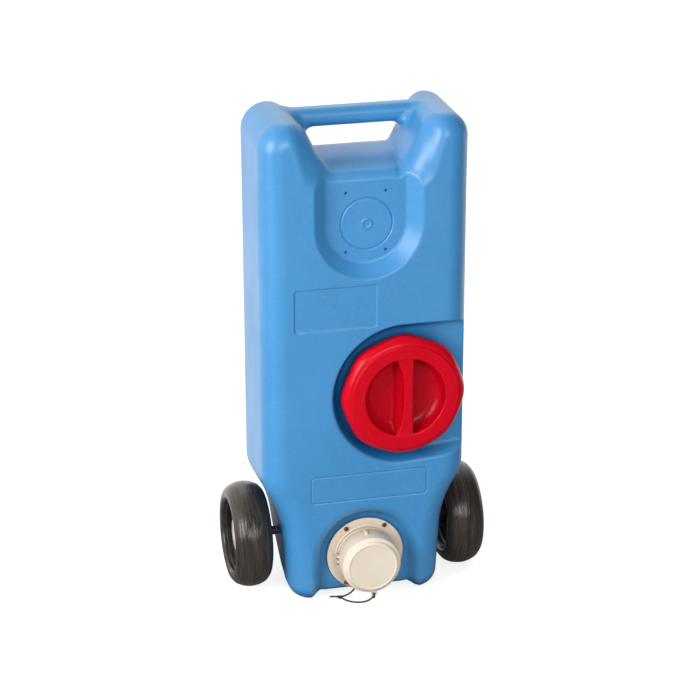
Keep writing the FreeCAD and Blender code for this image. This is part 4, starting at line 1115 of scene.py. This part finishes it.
def floor_material(name):
    """White to the eye, bright behind the tank in reflections, grey as a bounce."""
    mat, k, principled = new_material(name)
    path = k.new("LightPath").outputs
    seen, mirrored = path["Is Camera Ray"], path["Is Glossy Ray"]
    seen_glow = 0.84
    behind = k.mul(mirrored, k.span(k.xyz()[1], start=0.05, end=0.55, low=0.0, high=1.25))
    k.fill(principled, {
        "Base Color": k.blend(seen, (0.30, 0.295, 0.295), (0.50, 0.50, 0.50)),
        "Roughness": 0.8, "Specular IOR Level": 0.0,
        "Emission Color": k.blend(k.noise(scale=1.2, detail=2.0),
                                  (0.90, 0.90, 0.90), (0.93, 0.93, 0.93)),
        "Emission Strength": k.add(k.mul(seen, seen_glow), behind)})
    return mat


floor_mesh = bpy.data.meshes.new("floor")
bm = bmesh.new()
bmesh.ops.create_grid(bm, x_segments=8, y_segments=8, size=30.0)
bm.to_mesh(floor_mesh)
bm.free()
floor = add_object("floor", floor_mesh)
floor_mesh.materials.append(floor_material("floor_white"))

# the backdrop is white to the eye; in reflections it is bright behind and to the left,
# as a light it is even and soft
world = bpy.data.worlds.new("world")
world.use_nodes = True
background = world.node_tree.nodes["Background"].inputs
background[1].default_value = 1.0
k = Nodes(world.node_tree, coords="Generated")


def sky(direction, start, end, low, high):
    """Grey that brightens towards a direction."""
    dot = k.new("VectorMath")
    dot.operation = "DOT_PRODUCT"
    k.fill(dot, {0: k.coords, 1: direction})
    level = k.span(dot.outputs["Value"], start, end, low, high)
    return k.fill(k.new("CombineColor"), {0: level, 1: level, 2: level}).outputs[0]


path = k.new("LightPath").outputs
soft = sky((-0.62, -0.45, 0.30), start=-0.8, end=0.9, low=0.24, high=0.72)
shine = sky((-0.50, 0.86, 0.05), start=-0.35, end=0.75, low=0.06, high=1.45)
lit = k.blend(path["Is Glossy Ray"], soft, shine)
k.put(background[0], k.blend(path["Is Camera Ray"], lit, (1.0, 1.0, 1.0)))
scene.world = world


def aim(obj, direction):
    obj.rotation_euler = direction.to_track_quat("-Z", "Y").to_euler()


def area(name, place, target, size, power):
    light = bpy.data.lights.new(name, "AREA")
    light.shape = "RECTANGLE"
    light.size, light.size_y = size
    light.energy = power
    lamp = add_object(name, light)
    lamp.location = place
    aim(lamp, Vector(target) - Vector(place))


area("key_left", place=(-2.4, -1.35, 1.30), target=(0, 0, 0.42), size=(1.1, 1.7), power=64)
area("front", place=(-0.15, -2.6, 1.25), target=(0, 0, 0.35), size=(1.2, 0.9), power=28)
area("back_top", place=(0.6, 1.9, 2.6), target=(0, 0, 0.5), size=(1.6, 1.0), power=9)

AZIMUTH, ELEVATION, DISTANCE = math.radians(-14.11), math.radians(21.61), 3.943
TARGET = Vector((0, 0.015, 0.410))
lens = bpy.data.cameras.new("cam")
camera = add_object("cam", lens)
lens.sensor_width = 36.0
lens.lens = 123.27
lens.shift_x = -0.0048
lens.shift_y = -0.0012
lens.clip_end = 100
to_camera = Vector((math.sin(AZIMUTH) * math.cos(ELEVATION),
                    -math.cos(AZIMUTH) * math.cos(ELEVATION), math.sin(ELEVATION)))
camera.location = TARGET + to_camera * DISTANCE
aim(camera, -to_camera)
scene.camera = camera
